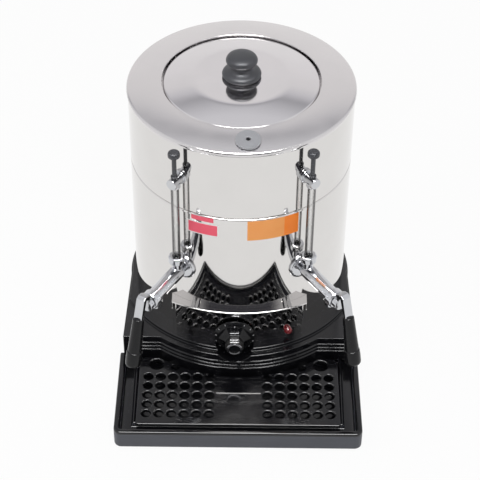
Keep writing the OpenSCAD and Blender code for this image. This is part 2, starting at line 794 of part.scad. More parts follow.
// Lid
module lid() {
  bead_r = lid_flat_d / 2;
  roll_z = lid_edge_z - lid_roll[1] - 0.3;
  color(STEEL) at_body() difference() {
    rotate_extrude() polygon(concat(
      [[0, lid_top_z - lid_t], [bead_r - lid_bead, lid_top_z - lid_t], [bead_r + lid_bead, lid_top_z - 1.8],
       [lid_r - 8, roll_z + 5.3], [lid_r - lid_t, roll_z], [lid_r - lid_t, lid_seat_z], [lid_r, lid_seat_z]],
      [for (a = [0:12:72]) [lid_r - lid_roll[0] * (1 - cos(a)), roll_z + lid_roll[1] * sin(a)]],
      [[bead_r + lid_bead, lid_top_z - 0.6], [bead_r - lid_bead, lid_top_z], [0, lid_top_z]]));
    along_z(0, big, lid_screw_d + 2 * fit_gap);
  }
}
module lid_knob() {
  flange_r = lid_knob_d / 2;
  dome_r = lid_knob_top_d / 2;
  neck_r = lid_knob_neck_d / 2;
  flange_top = 7;
  dome_z = lid_knob_h - 10.5;
  color(BLACK) at_body() translate([0, 0, lid_top_z]) difference() {
    rotate_extrude() polygon(concat(
      [[0, 0], [flange_r - 4, 0], [flange_r, 2.5], [flange_r, 4.5], [flange_r - 3, flange_top],
       [neck_r + 1, flange_top + 2], [neck_r, dome_z - 3], [dome_r - 2, dome_z]],
      [for (a = [0:10:90]) [dome_r * cos(a), dome_z + 3 + (lid_knob_h - dome_z - 3) * sin(a)]]));
    along_z(-over, lid_knob_h - 10, lid_screw_d);
  }
}
module lid_knob_screw() {
  color(STEEL) at_body() {
    along_z(lid_top_z - lid_t, lid_top_z + lid_knob_h - 12, lid_screw_d - 2 * fit_gap);
    along_z(lid_top_z - lid_t - 3, lid_top_z - lid_t, 2 * lid_screw_d);
  }
}

// Taps and sight gauges
module in_shell_only() {
  intersection() {
    children();
    cylinder(r = shell_in_r - fit_gap, h = big, $fn = fine);
  }
}
module off_body() {
  difference() {
    children();
    cylinder(r = body_r + fit_gap, h = big, $fn = fine);
  }
}
module tap_body(side) {
  color(CHROME) at_tap(side) difference() {
    union() {
      along_x(shank_in, gauge_x, shank_d, tap_z);
      translate([gauge_x, 0, tap_z]) sphere(d = barrel_d);
      along_x(gauge_x, barrel_end, barrel_d, tap_z);
      along_z(tap_z, branch_z, branch_d, gauge_x);
      along_z(spout_z + 7, tap_z, spout_d + 3, spout_x);
      along_z(spout_z, tap_z, spout_d, spout_x);
    }
    along_x(0, chamber_x + over, water_d, tap_z);
    along_x(chamber_x, big, rotor_d + 2 * run_gap, tap_z);
    along_z(tap_z, big, water_d, gauge_x);
    along_z(socket_z, big, tube_d + 2 * fit_gap, gauge_x);
    along_z(0, tap_z, water_d, spout_x);
  }
}
module tap_flange(side) {
  color(CHROME) at_tap(side) off_body() difference() {
    union() {
      along_x(body_r - 3, body_r + flange_t - 1.5, flange_d, tap_z);
      translate([body_r + flange_t - 1.5, 0, tap_z]) rotate([0, 90, 0])
        cylinder(d1 = flange_d, d2 = flange_d - 8, h = 1.5);
    }
    along_x(0, big, shank_d + 2 * fit_gap, tap_z);
  }
}
module tap_lock_nut(side) {
  color(BRASS) at_tap(side) in_shell_only() difference() {
    hex_x(shell_in_r - lock_nut_t, body_r, shank_d + 7, tap_z);
    along_x(0, big, shank_d + 2 * fit_gap, tap_z);
  }
}
module bonnet_nut(side) {
  color(CHROME) at_tap(side) difference() {
    union() {
      along_x(bonnet_x - bonnet_len, bonnet_x - 1, bonnet_d, tap_z);
      translate([bonnet_x - 1, 0, tap_z]) rotate([0, 90, 0]) cylinder(d1 = bonnet_d, d2 = bonnet_d - 2, h = 1);
    }
    along_x(0, barrel_end + fit_gap, barrel_d + 2 * fit_gap, tap_z);
    along_x(0, big, stem_d + 2 * run_gap, tap_z);
    along_z(0, tap_z, spout_d + 3 + 2 * fit_gap, spout_x);
  }
}
module valve_rotor(side) {
  out = side == "left" ? -1 : 1;
  color(BRASS) at_tap(side) difference() {
    union() {
      along_x(chamber_x + run_gap, barrel_end - run_gap, rotor_d, tap_z);
      along_x(barrel_end - 1, hub_x + 1, stem_d, tap_z);
    }
    along_x(0, spout_x + 1, water_d, tap_z);
    translate([spout_x, 0, tap_z]) rotate([out * 90, 0, 0]) cylinder(d = water_d - 1, h = big);
  }
}
// Side view of the lever: x out of the body, z up
function lever_foot() = [corner_x + lever_shank * sin(lever_lean), corner_z - lever_shank * cos(lever_lean)];
module at_lever_foot() {
  translate([lever_foot()[0], 0, lever_foot()[1]]) rotate([0, 180 - lever_lean, 0]) children();
}
module tap_lever(side) {
  dx = lever_t * cos(lever_lean);
  dz = lever_t * sin(lever_lean);
  top = lever_foot();
  foot = [top[0] + tang * sin(lever_lean), top[1] - tang * cos(lever_lean)]; // the tang runs straight inside the grip
  color(CHROME) at_tap(side) difference() {
    union() {
      along_x(hub_x, hub_x + 7, barrel_d - 1, tap_z);
      translate([0, lever_w / 2, 0]) rotate([90, 0, 0]) linear_extrude(lever_w) polygon([
        [hub_x, tap_z], [hub_x, tap_z + barrel_d / 2 - 1], [hub_x + 3, corner_z - 2], [hub_x + 7, corner_z + 1],
        [corner_x - 3, corner_z + 2], [corner_x + 1, corner_z], [top[0] + dx / 2, top[1] + dz / 2],
        [foot[0] + dx / 2, foot[1] + dz / 2], [foot[0] - dx / 2, foot[1] - dz / 2], [top[0] - dx / 2, top[1] - dz / 2],
        [corner_x - lever_t, corner_z - 3.5], [hub_x + 8.5, corner_z - 3.5],
        [hub_x + 7, tap_z]]);
    }
    along_x(0, hub_x + 1 + fit_gap, stem_d + 2 * fit_gap, tap_z);
  }
}
module lever_grip(side) {
  cap = grip_len * 0.3;
  color(BLACK) at_tap(side) at_lever_foot() difference() {
    union() {
      cylinder(d1 = grip_top_d, d2 = grip_d - 1.5, h = grip_len - cap);
      translate([0, 0, grip_len - cap]) cylinder(d1 = grip_d - 1.5, d2 = grip_d, h = 2);
      translate([0, 0, grip_len - cap + 2]) cylinder(d = grip_d, h = cap - 4);
      translate([0, 0, grip_len - 2]) cylinder(d1 = grip_d, d2 = grip_d - 4, h = 2);
    }
    translate([-lever_t / 2 - fit_gap, -lever_w / 2 - fit_gap, -over])
      cube([lever_t + 2 * fit_gap, lever_w + 2 * fit_gap, tang + fit_gap + over]);
  }
}
module gland_nut(side) {
  color(CHROME) at_tap(side) difference() {
    union() {
      along_z(gland_z - gland_h, gland_z - 1.5, gland_d, gauge_x);
      translate([gauge_x, 0, gland_z - 1.5]) cylinder(d1 = gland_d, d2 = gland_d - 3, h = 1.5);
    }
    along_z(0, branch_z + seal_h, branch_d + 2 * fit_gap, gauge_x);
    along_z(0, big, tube_d + 2 * fit_gap, gauge_x);
  }
}
module gland_seal(side) {
  color(DARK) at_tap(side) translate([gauge_x, 0, 0])
    tube(branch_z, branch_z + seal_h - fit_gap, branch_d / 2, tube_d / 2 + fit_gap / 2);
}
module sight_tube(side) {
  color([0.85, 0.9, 0.92, 0.5]) at_tap(side) translate([gauge_x, 0, 0])
    tube(socket_z, tube_top_z - fit_gap, tube_d / 2, tube_d / 2 - tube_wall);
}
module gauge_arm(side) {
  color(CHROME) at_tap(side) difference() {
    union() {
      off_body() along_x(body_r - 3, body_r + 3.5, arm_d + 4, arm_z);
      along_x(body_r - 12, body_r + 2, arm_thread_d, arm_z);
      along_x(body_r + 1, arm_end, arm_d, arm_z);
      along_z(arm_socket_z, arm_z, branch_d + 0.7, gauge_x);
    }
    along_x(0, gauge_x, 5, arm_z);
    along_z(0, tube_top_z, tube_d + 2 * fit_gap, gauge_x);
    along_z(0, big, plug_stem_d + 2 * run_gap, gauge_x);
  }
}
module gauge_arm_nut(side) {
  color(BRASS) at_tap(side) in_shell_only() difference() {
    hex_x(shell_in_r - lock_nut_t, body_r, arm_thread_d + 6, arm_z);
    along_x(0, big, arm_thread_d + 2 * fit_gap, arm_z);
  }
}
module gauge_plug(side) {
  cap_z = plug_z + plug_stem;
  color(BLACK) at_tap(side) {
    along_z(tube_top_z + run_gap, cap_z, plug_stem_d, gauge_x);
    along_z(plug_z + run_gap, plug_z + 2.5, plug_stem_d + 3, gauge_x);
    translate([gauge_x, 0, cap_z]) rotate_extrude() polygon(concat(
      [[0, 0], [plug_cap_d / 2 - 1, 0], [plug_cap_d / 2, 1]],
      [for (a = [0:22.5:90]) [plug_cap_d / 2 + cap_round * (cos(a) - 1), plug_cap_h + cap_round * (sin(a) - 1)]],
      [[0, plug_cap_h]]));
  }
}

base_moulding();
tray_moulding();
base_plate();
base_screws();
rubber_feet();
cord_gland();
terminal_block();
inner_leads();
drip_grille();
control_panel();
panel_trim();
thermostat_body();
thermostat_nut();
thermostat_shaft();
thermostat_knob();
knob_disc();
pilot_lamp_body();
pilot_lamp_lens();
lower_shell();
upper_shell();
top_ring();
tank_floor();
inner_pot();
heating_element();
element_nuts();
probe_pocket();
coffee_pipe();
filler_cap();
lid();
lid_knob();
lid_knob_screw();
for (side = SIDES) {
  tap_body(side);
  tap_flange(side);
  tap_lock_nut(side);
  bonnet_nut(side);
  valve_rotor(side);
  tap_lever(side);
  lever_grip(side);
  gland_nut(side);
  gland_seal(side);
  sight_tube(side);
  gauge_arm(side);
  gauge_arm_nut(side);
  gauge_plug(side);
}
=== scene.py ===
import json
import math
import bpy
from mathutils import Matrix, Vector


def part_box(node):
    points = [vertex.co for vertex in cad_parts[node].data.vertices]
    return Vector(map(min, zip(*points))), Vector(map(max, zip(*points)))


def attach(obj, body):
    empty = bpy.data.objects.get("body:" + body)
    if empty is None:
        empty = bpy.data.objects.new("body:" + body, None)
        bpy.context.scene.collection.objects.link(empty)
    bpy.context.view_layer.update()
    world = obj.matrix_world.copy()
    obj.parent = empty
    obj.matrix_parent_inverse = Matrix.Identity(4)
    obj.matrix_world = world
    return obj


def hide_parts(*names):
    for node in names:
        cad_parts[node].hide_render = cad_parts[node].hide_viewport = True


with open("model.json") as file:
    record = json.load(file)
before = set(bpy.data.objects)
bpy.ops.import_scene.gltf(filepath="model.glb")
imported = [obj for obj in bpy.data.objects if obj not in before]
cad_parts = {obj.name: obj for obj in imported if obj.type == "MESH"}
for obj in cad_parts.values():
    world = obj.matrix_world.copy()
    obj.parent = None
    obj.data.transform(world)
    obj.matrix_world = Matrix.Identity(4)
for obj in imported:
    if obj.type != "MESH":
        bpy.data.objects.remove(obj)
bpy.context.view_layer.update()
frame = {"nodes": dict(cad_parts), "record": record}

mm = 0.001
throughCut = 0.2    # metres, taller than any piece that a round cutter passes through
weldGap = 0.002     # mm, points nearer than this become one
flatWithin = 0.5    # degrees, triangles as level as this become one face
print("frame loaded:", len(frame["nodes"]), "nodes")

# where the body and the taps stand in the frame, as in the part's source
axisY = 52.5                            # mm, the body's upright axis
bodyTurn = 1.5                          # degrees, the body on its base
tapTurn = {"left": -32, "right": 32}    # degrees from the front
sides = ("left", "right")
atAxis = Matrix.Translation((0, axisY * mm, 0))
atBody = atAxis @ Matrix.Rotation(math.radians(bodyTurn), 4, "Z")
atTap = {side: atBody @ Matrix.Rotation(math.radians(turn - 90), 4, "Z") for side, turn in tapTurn.items()}


# modelling helpers

def clearSelection():
    if bpy.context.object and bpy.context.object.mode != "OBJECT":
        bpy.ops.object.mode_set(mode="OBJECT")
    bpy.ops.object.select_all(action="DESELECT")


def pick(piece):
    clearSelection()
    bpy.context.view_layer.objects.active = piece
    piece.select_set(True)


def applyPlace(piece, place):
    pick(piece)
    piece.matrix_world = place
    bpy.ops.object.transform_apply(location=True, rotation=True, scale=True)


def smoothShade(piece, angle=40):
    pick(piece)
    bpy.ops.object.shade_smooth_by_angle(angle=math.radians(angle))
    bpy.ops.object.modifier_add(type="WEIGHTED_NORMAL")     # keeps the flats flat beside their rounded edges
    piece.modifiers[-1].keep_sharp = True
    bpy.ops.object.modifier_apply(modifier=piece.modifiers[-1].name)


def roundEdges(piece, width, segments=3, angle=30):
    pick(piece)
    bpy.ops.object.modifier_add(type="BEVEL")
    bevel = piece.modifiers[-1]
    bevel.width = width * mm
    bevel.segments = segments
    bevel.limit_method = "ANGLE"
    bevel.angle_limit = math.radians(angle)
    bevel.use_clamp_overlap = False     # else the shortest edge sets the width of them all
    bpy.ops.object.modifier_apply(modifier=bevel.name)
    smoothShade(piece)


# select edges by their two ends, or faces by their middle and normal, in millimetres, and stay in edit mode
def markEdges(piece, test):
    pick(piece)
    bpy.ops.object.mode_set(mode="EDIT")
    bpy.ops.mesh.select_mode(type="EDGE")
    bpy.ops.mesh.select_all(action="DESELECT")
    bpy.ops.object.mode_set(mode="OBJECT")
    points = [corner.co / mm for corner in piece.data.vertices]
    for edge in piece.data.edges:
        edge.select = test(points[edge.vertices[0]], points[edge.vertices[1]])
    bpy.ops.object.mode_set(mode="EDIT")


def markFaces(piece, test):
    pick(piece)
    bpy.ops.object.mode_set(mode="EDIT")
    bpy.ops.mesh.select_mode(type="FACE")
    bpy.ops.mesh.select_all(action="DESELECT")
    bpy.ops.object.mode_set(mode="OBJECT")
    for face in piece.data.polygons:
        face.select = test(face.center / mm, face.normal)
    bpy.ops.object.mode_set(mode="EDIT")


# a block between two corners, in millimetres
def addBlock(name, low, high):
    clearSelection()
    middle = [(a + b) / 2 * mm for a, b in zip(low, high)]
    bpy.ops.mesh.primitive_cube_add(size=1, location=middle, scale=[(b - a) * mm for a, b in zip(low, high)])
    piece = bpy.context.object
    piece.name = name
    bpy.ops.object.transform_apply(location=True, rotation=True, scale=True)
    return piece


def cutAway(piece, cutter):
    pick(piece)
    bpy.ops.object.modifier_add(type="BOOLEAN")
    cut = piece.modifiers[-1]
    cut.operation = "DIFFERENCE"
    cut.object = cutter
    cut.solver = "EXACT"
    bpy.ops.object.modifier_apply(modifier=cut.name)
    bpy.data.objects.remove(cutter)


# one point is drawn out along the outline (radius, height) and spun round the upright axis
def turnOutline(name, outline, steps, place, sweep=360):
    clearSelection()
    bpy.ops.mesh.primitive_plane_add(size=mm, location=(0, 0, 0))
    piece = bpy.context.object
    piece.name = name
    bpy.ops.object.mode_set(mode="EDIT")
    bpy.ops.mesh.select_mode(type="VERT")
    bpy.ops.mesh.merge(type="CENTER")
    bpy.ops.transform.translate(value=(outline[0][0] * mm, 0, outline[0][1] * mm))
    for a, b in zip(outline, outline[1:]):
        step = ((b[0] - a[0]) * mm, 0, (b[1] - a[1]) * mm)
        bpy.ops.mesh.extrude_vertices_move(TRANSFORM_OT_translate={"value": step})
    bpy.ops.mesh.select_all(action="SELECT")
    bpy.ops.mesh.spin(steps=steps, angle=math.radians(sweep), center=(0, 0, 0), axis=(0, 0, 1))
    bpy.ops.mesh.select_all(action="SELECT")
    bpy.ops.mesh.remove_doubles(threshold=weldGap * mm)
    bpy.ops.mesh.normals_make_consistent(inside=False)
    bpy.ops.object.mode_set(mode="OBJECT")
    applyPlace(piece, place)
    return piece


# a copy with its own mesh, set down at another place
def copyTo(piece, name, place):
    copied = bpy.data.objects.new(name, piece.data.copy())
    bpy.context.scene.collection.objects.link(copied)
    applyPlace(copied, place)
    return copied


# a welded copy of a CAD solid with whole flats and rounded edges
def softCopy(node, name, width=0, segments=3):
    piece = bpy.data.objects.new(name, frame["nodes"][node].data.copy())
    bpy.context.scene.collection.objects.link(piece)
    pick(piece)
    bpy.ops.mesh.customdata_custom_splitnormals_clear()
    bpy.ops.object.mode_set(mode="EDIT")
    bpy.ops.mesh.select_all(action="SELECT")
    bpy.ops.mesh.remove_doubles(threshold=weldGap * mm)
    bpy.ops.mesh.dissolve_limited(angle_limit=math.radians(flatWithin))
    bpy.ops.object.mode_set(mode="OBJECT")
    if width:
        roundEdges(piece, width, segments)
    return piece


def fitOut(piece, body, slot, material, *nodes):
    piece.data.materials.clear()
    piece.data.materials.append(material)
    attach(piece, body)
    if nodes:
        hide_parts(*nodes)


# points of a rounded corner between two straight runs of an outline
def arc(centre, radius, start, end, count=6):
    angles = [math.radians(start + (end - start) * k / count) for k in range(count + 1)]
    return [(centre[0] + radius * math.cos(a), centre[1] + radius * math.sin(a)) for a in angles]


# material helpers

def hexColour(text):
    parts = [int(text[k:k + 2], 16) / 255 for k in (1, 3, 5)]
    return [c / 12.92 if c <= 0.04045 else ((c + 0.055) / 1.055) ** 2.4 for c in parts] + [1]


def perMetre(sizeMm):
    return 1 / (sizeMm * mm)    # texture scale that gives marks of this size


def addNode(tree, kind, settings=None, links=None):
    node = tree.nodes.new(kind)
    for key, value in (settings or {}).items():
        if isinstance(key, int) or key in node.inputs:
            node.inputs[key].default_value = value
        else:
            setattr(node, key, value)
    for key, socket in (links or {}).items():
        tree.links.new(socket, node.inputs[key])
    return node


def startMaterial(name, settings):
    material = bpy.data.materials.new(name)
    material.use_nodes = True
    tree = material.node_tree
    shader = tree.nodes["Principled BSDF"]
    for key, value in settings.items():
        shader.inputs[key].default_value = value
    place = addNode(tree, "ShaderNodeTexCoord").outputs["Object"]
    return material, tree, shader, place


# a soft mottle of two shades, a band of roughness and a shallow bump, all from noise of real sizes;
# a grain too fine for the render is drawn at about a millimetre, so that it shows
def mottle(look, tree, shader, place):
    marks = addNode(tree, "ShaderNodeTexNoise", {"Scale": perMetre(look["marksMm"]), "Detail": 4}, {"Vector": place})
    shades = addNode(tree, "ShaderNodeMix", {"data_type": "RGBA", 6: hexColour(look["shade"]),
                                             7: hexColour(look["colour"])}, {0: marks.outputs["Fac"]})
    tree.links.new(shades.outputs[2], shader.inputs["Base Color"])
    gloss = addNode(tree, "ShaderNodeMapRange", {"From Min": 0.3, "From Max": 0.7, "To Min": look["smooth"],
                                                 "To Max": look["rough"]}, {"Value": marks.outputs["Fac"]})
    tree.links.new(gloss.outputs[0], shader.inputs["Roughness"])
    grain = addNode(tree, "ShaderNodeTexNoise", {"Scale": perMetre(look["grainMm"]), "Detail": 3}, {"Vector": place})
    bump = addNode(tree, "ShaderNodeBump", {"Strength": look["bump"], "Distance": look["depthMm"] * mm},
                   {"Height": grain.outputs["Fac"]})
    tree.links.new(bump.outputs["Normal"], shader.inputs["Normal"])
    return marks, shades, gloss


def mottled(name, look, **settings):
    material, tree, shader, place = startMaterial(name, settings)
    mottle(look, tree, shader, place)
    return material


# 304 stainless sheet, mirror polished: it doubles the white floor and the black tray, with a slight sheet ripple
mirrorStainless = mottled("mirrorPolishedStainless", {
    "colour": "#dddbd9", "shade": "#d6d4d2", "marksMm": 40, "smooth": 0.03, "rough": 0.06,
    "grainMm": 60, "bump": 0.5, "depthMm": 0.10}, Metallic=1)

# the same sheet with a finer, softer polish on the ring, which blurs the room into broad greys
satinStainless = mottled("satinPolishedStainless", {
    "colour": "#dddada", "shade": "#d3d1d1", "marksMm": 30, "smooth": 0.15, "rough": 0.22,
    "grainMm": 0.9, "bump": 0.04, "depthMm": 0.02}, Metallic=1)

# the lid is spun and buffed brighter than the ring, so that the knob shows in it
buffedStainless = mottled("buffedSpunStainless", {
    "colour": "#dddadb", "shade": "#d4d2d3", "marksMm": 35, "smooth": 0.06, "rough": 0.11,
    "grainMm": 45, "bump": 0.3, "depthMm": 0.10}, Metallic=1)

# brass castings under bright chrome: clear light and dark streaks, softened by a touch of casting ripple
brightChrome = mottled("brightChromePlate", {
    "colour": "#cfd0d3", "shade": "#bfc0c3", "marksMm": 12, "smooth": 0.05, "rough": 0.13,
    "grainMm": 7, "bump": 0.25, "depthMm": 0.05}, Metallic=1)

# injection-moulded black ABS from a polished tool: deep gloss with a trace of orange peel
blackAbs = {"colour": "#121215", "shade": "#0c0c0f", "marksMm": 25, "smooth": 0.08, "rough": 0.15,
            "grainMm": 5, "bump": 0.12, "depthMm": 0.05}
glossBlackAbs = mottled("glossBlackMouldedAbs", blackAbs, IOR=1.53)

# the outer walls of the base come from a spark-eroded tool: below the rim the same ABS is matte, and its steep faces
# are painted a lighter grey that stands in for the light of the bright floor
wallAbs = {"colour": "#44464e", "shade": "#3c3e45", "wallTop": 22.4, "blend": 1.2, "rough": 0.5, "steep": (0.5, 0.25)}
matteAbsWithPaintedLitWalls, tree, shader, place = startMaterial("blackAbsWithMatteWallsAndPaintedLight", {"IOR": 1.53})
marks, shades, gloss = mottle(blackAbs, tree, shader, place)
height = addNode(tree, "ShaderNodeSeparateXYZ", {}, {0: place})
wall = addNode(tree, "ShaderNodeMapRange", {"From Min": (wallAbs["wallTop"] + wallAbs["blend"]) * mm,
                                            "From Max": wallAbs["wallTop"] * mm}, {"Value": height.outputs["Z"]})
facing = addNode(tree, "ShaderNodeSeparateXYZ", {}, {0: addNode(tree, "ShaderNodeNewGeometry").outputs["Normal"]})
steep = addNode(tree, "ShaderNodeMath", {"operation": "ABSOLUTE"}, {0: facing.outputs["Z"]})
steep = addNode(tree, "ShaderNodeMapRange", {"From Min": wallAbs["steep"][0], "From Max": wallAbs["steep"][1]},
                {"Value": steep.outputs[0]})
wall = addNode(tree, "ShaderNodeMath", {"operation": "MULTIPLY"}, {0: wall.outputs[0], 1: steep.outputs[0]})
# painted light: the steep walls below the rim take a lighter grey than the black ABS above
paintedLitWallShades = addNode(tree, "ShaderNodeMix", {"data_type": "RGBA", 6: hexColour(wallAbs["shade"]),
                                             7: hexColour(wallAbs["colour"])}, {0: marks.outputs["Fac"]})
colours = addNode(tree, "ShaderNodeMix", {"data_type": "RGBA"}, {0: wall.outputs[0], 6: shades.outputs[2],
                                                                 7: paintedLitWallShades.outputs[2]})
tree.links.new(colours.outputs[2], shader.inputs["Base Color"])
sheen = addNode(tree, "ShaderNodeMix", {"data_type": "FLOAT", 3: wallAbs["rough"]}, {0: wall.outputs[0],
                                                                                     2: gloss.outputs[0]})
tree.links.new(sheen.outputs[0], shader.inputs["Roughness"])

# pressed phenolic resin: a soft sheen over a fine sandy grain, drawn a little coarse so that it shows
satinPhenolic = mottled("satinBlackPhenolic", {
    "colour": "#37383d", "shade": "#2d2e32", "marksMm": 6, "smooth": 0.38, "rough": 0.5,
    "grainMm": 0.7, "bump": 0.25, "depthMm": 0.06}, IOR=1.6)

# the same resin buffed for the hand: darker, with a wet sheen
buffedPhenolic = mottled("buffedBlackPhenolic", {
    "colour": "#111113", "shade": "#0b0b0d", "marksMm": 6, "smooth": 0.18, "rough": 0.28,
    "grainMm": 0.9, "bump": 0.12, "depthMm": 0.04}, IOR=1.36)

# moulded grey nylon: a flat, waxy grey with a fine tooth
greyNylon = mottled("greyMouldedNylon", {
    "colour": "#acadb1", "shade": "#9d9ea3", "marksMm": 5, "smooth": 0.34, "rough": 0.46,
    "grainMm": 0.8, "bump": 0.2, "depthMm": 0.05}, IOR=1.53)

# brass as it leaves the lathe: warm yellow with a dull turned sheen
rawBrass = mottled("turnedBrass", {
    "colour": "#c8a860", "shade": "#b3934c", "marksMm": 8, "smooth": 0.2, "rough": 0.34,
    "grainMm": 1.2, "bump": 0.1, "depthMm": 0.03}, Metallic=1)

# zinc-plated sheet: a cool blue-grey, a little cloudy
zincPlate = mottled("zincPlatedSteel", {
    "colour": "#b9bcc0", "shade": "#a4a8ad", "marksMm": 10, "smooth": 0.28, "rough": 0.42,
    "grainMm": 2, "bump": 0.1, "depthMm": 0.03}, Metallic=1)

# nickel-plated screw steel: small bright glints on a grey ground
screwSteel = mottled("nickelPlatedScrewSteel", {
    "colour": "#c4c5c7", "shade": "#aeb0b3", "marksMm": 4, "smooth": 0.2, "rough": 0.32,
    "grainMm": 1, "bump": 0.1, "depthMm": 0.02}, Metallic=1)

# element sheath after heating: dull brown-grey with darker patches
elementMetal = mottled("heatTintedElementSheath", {
    "colour": "#7d7872", "shade": "#5f5a58", "marksMm": 14, "smooth": 0.3, "rough": 0.5,
    "grainMm": 1.5, "bump": 0.15, "depthMm": 0.05}, Metallic=1)

# moulded rubber: near black, with no glint
footRubber = mottled("mouldedBlackRubber", {
    "colour": "#1b1b1c", "shade": "#131314", "marksMm": 6, "smooth": 0.6, "rough": 0.8,
    "grainMm": 0.8, "bump": 0.3, "depthMm": 0.08}, IOR=1.52)

# moulded white nylon: creamy white with a low sheen
whiteNylon = mottled("whiteMouldedNylon", {
    "colour": "#e6e4dd", "shade": "#d9d6cd", "marksMm": 8, "smooth": 0.38, "rough": 0.5,
    "grainMm": 1, "bump": 0.15, "depthMm": 0.04}, IOR=1.53)

# pressed ceramic: chalky beige, quite matte
statCase = mottled("ceramicThermostatCase", {
    "colour": "#cfc9ba", "shade": "#bcb5a4", "marksMm": 9, "smooth": 0.5, "rough": 0.65,
    "grainMm": 0.9, "bump": 0.2, "depthMm": 0.05}, IOR=1.55)

# bright steel trim: a soft silver gleam against the black dial
silverTrim = mottled("brightSteelTrim", {
    "colour": "#a6a6a9", "shade": "#98989b", "marksMm": 15, "smooth": 0.12, "rough": 0.2,
    "grainMm": 10, "bump": 0.15, "depthMm": 0.05}, Metallic=1)

# tinted polycarbonate: deep red with a wet point of light
redLens = mottled("redPolycarbonateLens", {
    "colour": "#8c1420", "shade": "#5f0d16", "marksMm": 2, "smooth": 0.1, "rough": 0.2,
    "grainMm": 1.2, "bump": 0.2, "depthMm": 0.08}, **{"IOR": 1.58, "Transmission Weight": 0.2})

# drawn glass tube: clear in the middle, with painted shade that darkens its edges where the tube is seen edge-on
glass = {"clear": "#ffffff", "edge": "#1e1b1b", "paintedShadeFrom": 0.2, "paintedShadeTo": 0.5}
sightGlass, tree, shader, place = startMaterial("drawnBorosilicateGlass", {"IOR": 1.47, "Transmission Weight": 1.0})
mottle({"colour": "#f4f8f7", "shade": "#eef3f2", "marksMm": 20, "smooth": 0.0, "rough": 0.02,
        "grainMm": 15, "bump": 0.1, "depthMm": 0.05}, tree, shader, place)
# painted shade: the glass tint turns from clear to near black towards the tube's edges
edgeOn = addNode(tree, "ShaderNodeLayerWeight", {"Blend": 0.5})
paintedEdgeShade = addNode(tree, "ShaderNodeMapRange", {"From Min": glass["paintedShadeFrom"], "From Max": glass["paintedShadeTo"]},
                   {"Value": edgeOn.outputs["Facing"]})
glassPaintedShades = addNode(tree, "ShaderNodeMix", {"data_type": "RGBA", 6: hexColour(glass["clear"]),
                                              7: hexColour(glass["edge"])}, {0: paintedEdgeShade.outputs[0]})
tree.links.new(glassPaintedShades.outputs[2], shader.inputs["Base Color"])

# printed vinyl: flat colour under a clear film, with the faint unevenness of the ink
redVinyl = mottled("redPrintedVinyl", {
    "colour": "#f2667c", "shade": "#e84a60", "marksMm": 14, "smooth": 0.3, "rough": 0.4,
    "grainMm": 3, "bump": 0.1, "depthMm": 0.03}, IOR=1.5)
paleOrangeVinyl = mottled("paleOrangePrintedVinyl", {
    "colour": "#f6a860", "shade": "#f09a4c", "marksMm": 16, "smooth": 0.3, "rough": 0.4,
    "grainMm": 3, "bump": 0.1, "depthMm": 0.03}, IOR=1.5)
orangeVinyl = mottled("orangePrintedVinyl", {
    "colour": "#fa8a22", "shade": "#f27a12", "marksMm": 16, "smooth": 0.3, "rough": 0.4,
    "grainMm": 3, "bump": 0.1, "depthMm": 0.03}, IOR=1.5)
whiteVinyl = mottled("whitePrintedVinyl", {
    "colour": "#f0eeec", "shade": "#e6e3e2", "marksMm": 12, "smooth": 0.3, "rough": 0.4,
    "grainMm": 3, "bump": 0.1, "depthMm": 0.03}, IOR=1.5)

# pad-printed ink: a thin chalky white that never glints
whiteInk = mottled("whitePadPrintInk", {
    "colour": "#c4c4c6", "shade": "#b2b2b5", "marksMm": 1.5, "smooth": 0.45, "rough": 0.6,
    "grainMm": 0.6, "bump": 0.15, "depthMm": 0.02}, IOR=1.5)

print("materials made")

slotLooks = {
    "black_gloss_plastic": glossBlackAbs, "black_satin_plastic": satinPhenolic, "polished_steel": mirrorStainless,
    "chrome": brightChrome, "brass": rawBrass, "zinc_plate": zincPlate, "steel_fastener": screwSteel,
    "element_metal": elementMetal, "rubber": footRubber, "white_plastic": whiteNylon, "thermostat_case": statCase,
    "grey_cap": greyNylon, "silver_trim": silverTrim, "red_lens": redLens, "sight_glass": sightGlass,
}
nodeSlots = {part["node"]: part["material_slot"] for part in frame["record"]["subparts"]}
for node, cadObject in frame["nodes"].items():
    for slot in cadObject.material_slots:
        slot.material = slotLooks[nodeSlots[node]]
print("CAD nodes dressed")

# soft-edged copies of the solids whose form is already right
softPieces = {"cord_gland": 0.5}
for side in sides:
    softPieces |= {f"{side}_{part}": width for part, width in {
        "tap_body": 0.6, "tap_flange": 0.6, "bonnet_nut": 0.8, "tap_lever": 0.8,
        "gland_nut": 0.6, "gauge_arm": 0.6, "gauge_plug": 0.5}.items()}
nodeBodies = {node: body for body, members in frame["record"]["behaviour"]["bodies"].items() for node in members}
for node, width in softPieces.items():
    slot = nodeSlots[node]
    fitOut(softCopy(node, node + "_visual", width), nodeBodies[node], slot, slotLooks[slot], node)
print("soft-edged pieces made:", len(softPieces))

# the base block has fuller edges, which carry the softbox as thin lines along its ribs
block = {"edge": 0.8, "segments": 4}
blockPiece = softCopy("base_moulding", "baseBlock", block["edge"], block["segments"])
fitOut(blockPiece, "urn", "black_gloss_plastic", glossBlackAbs, "base_moulding")
print("base block made")

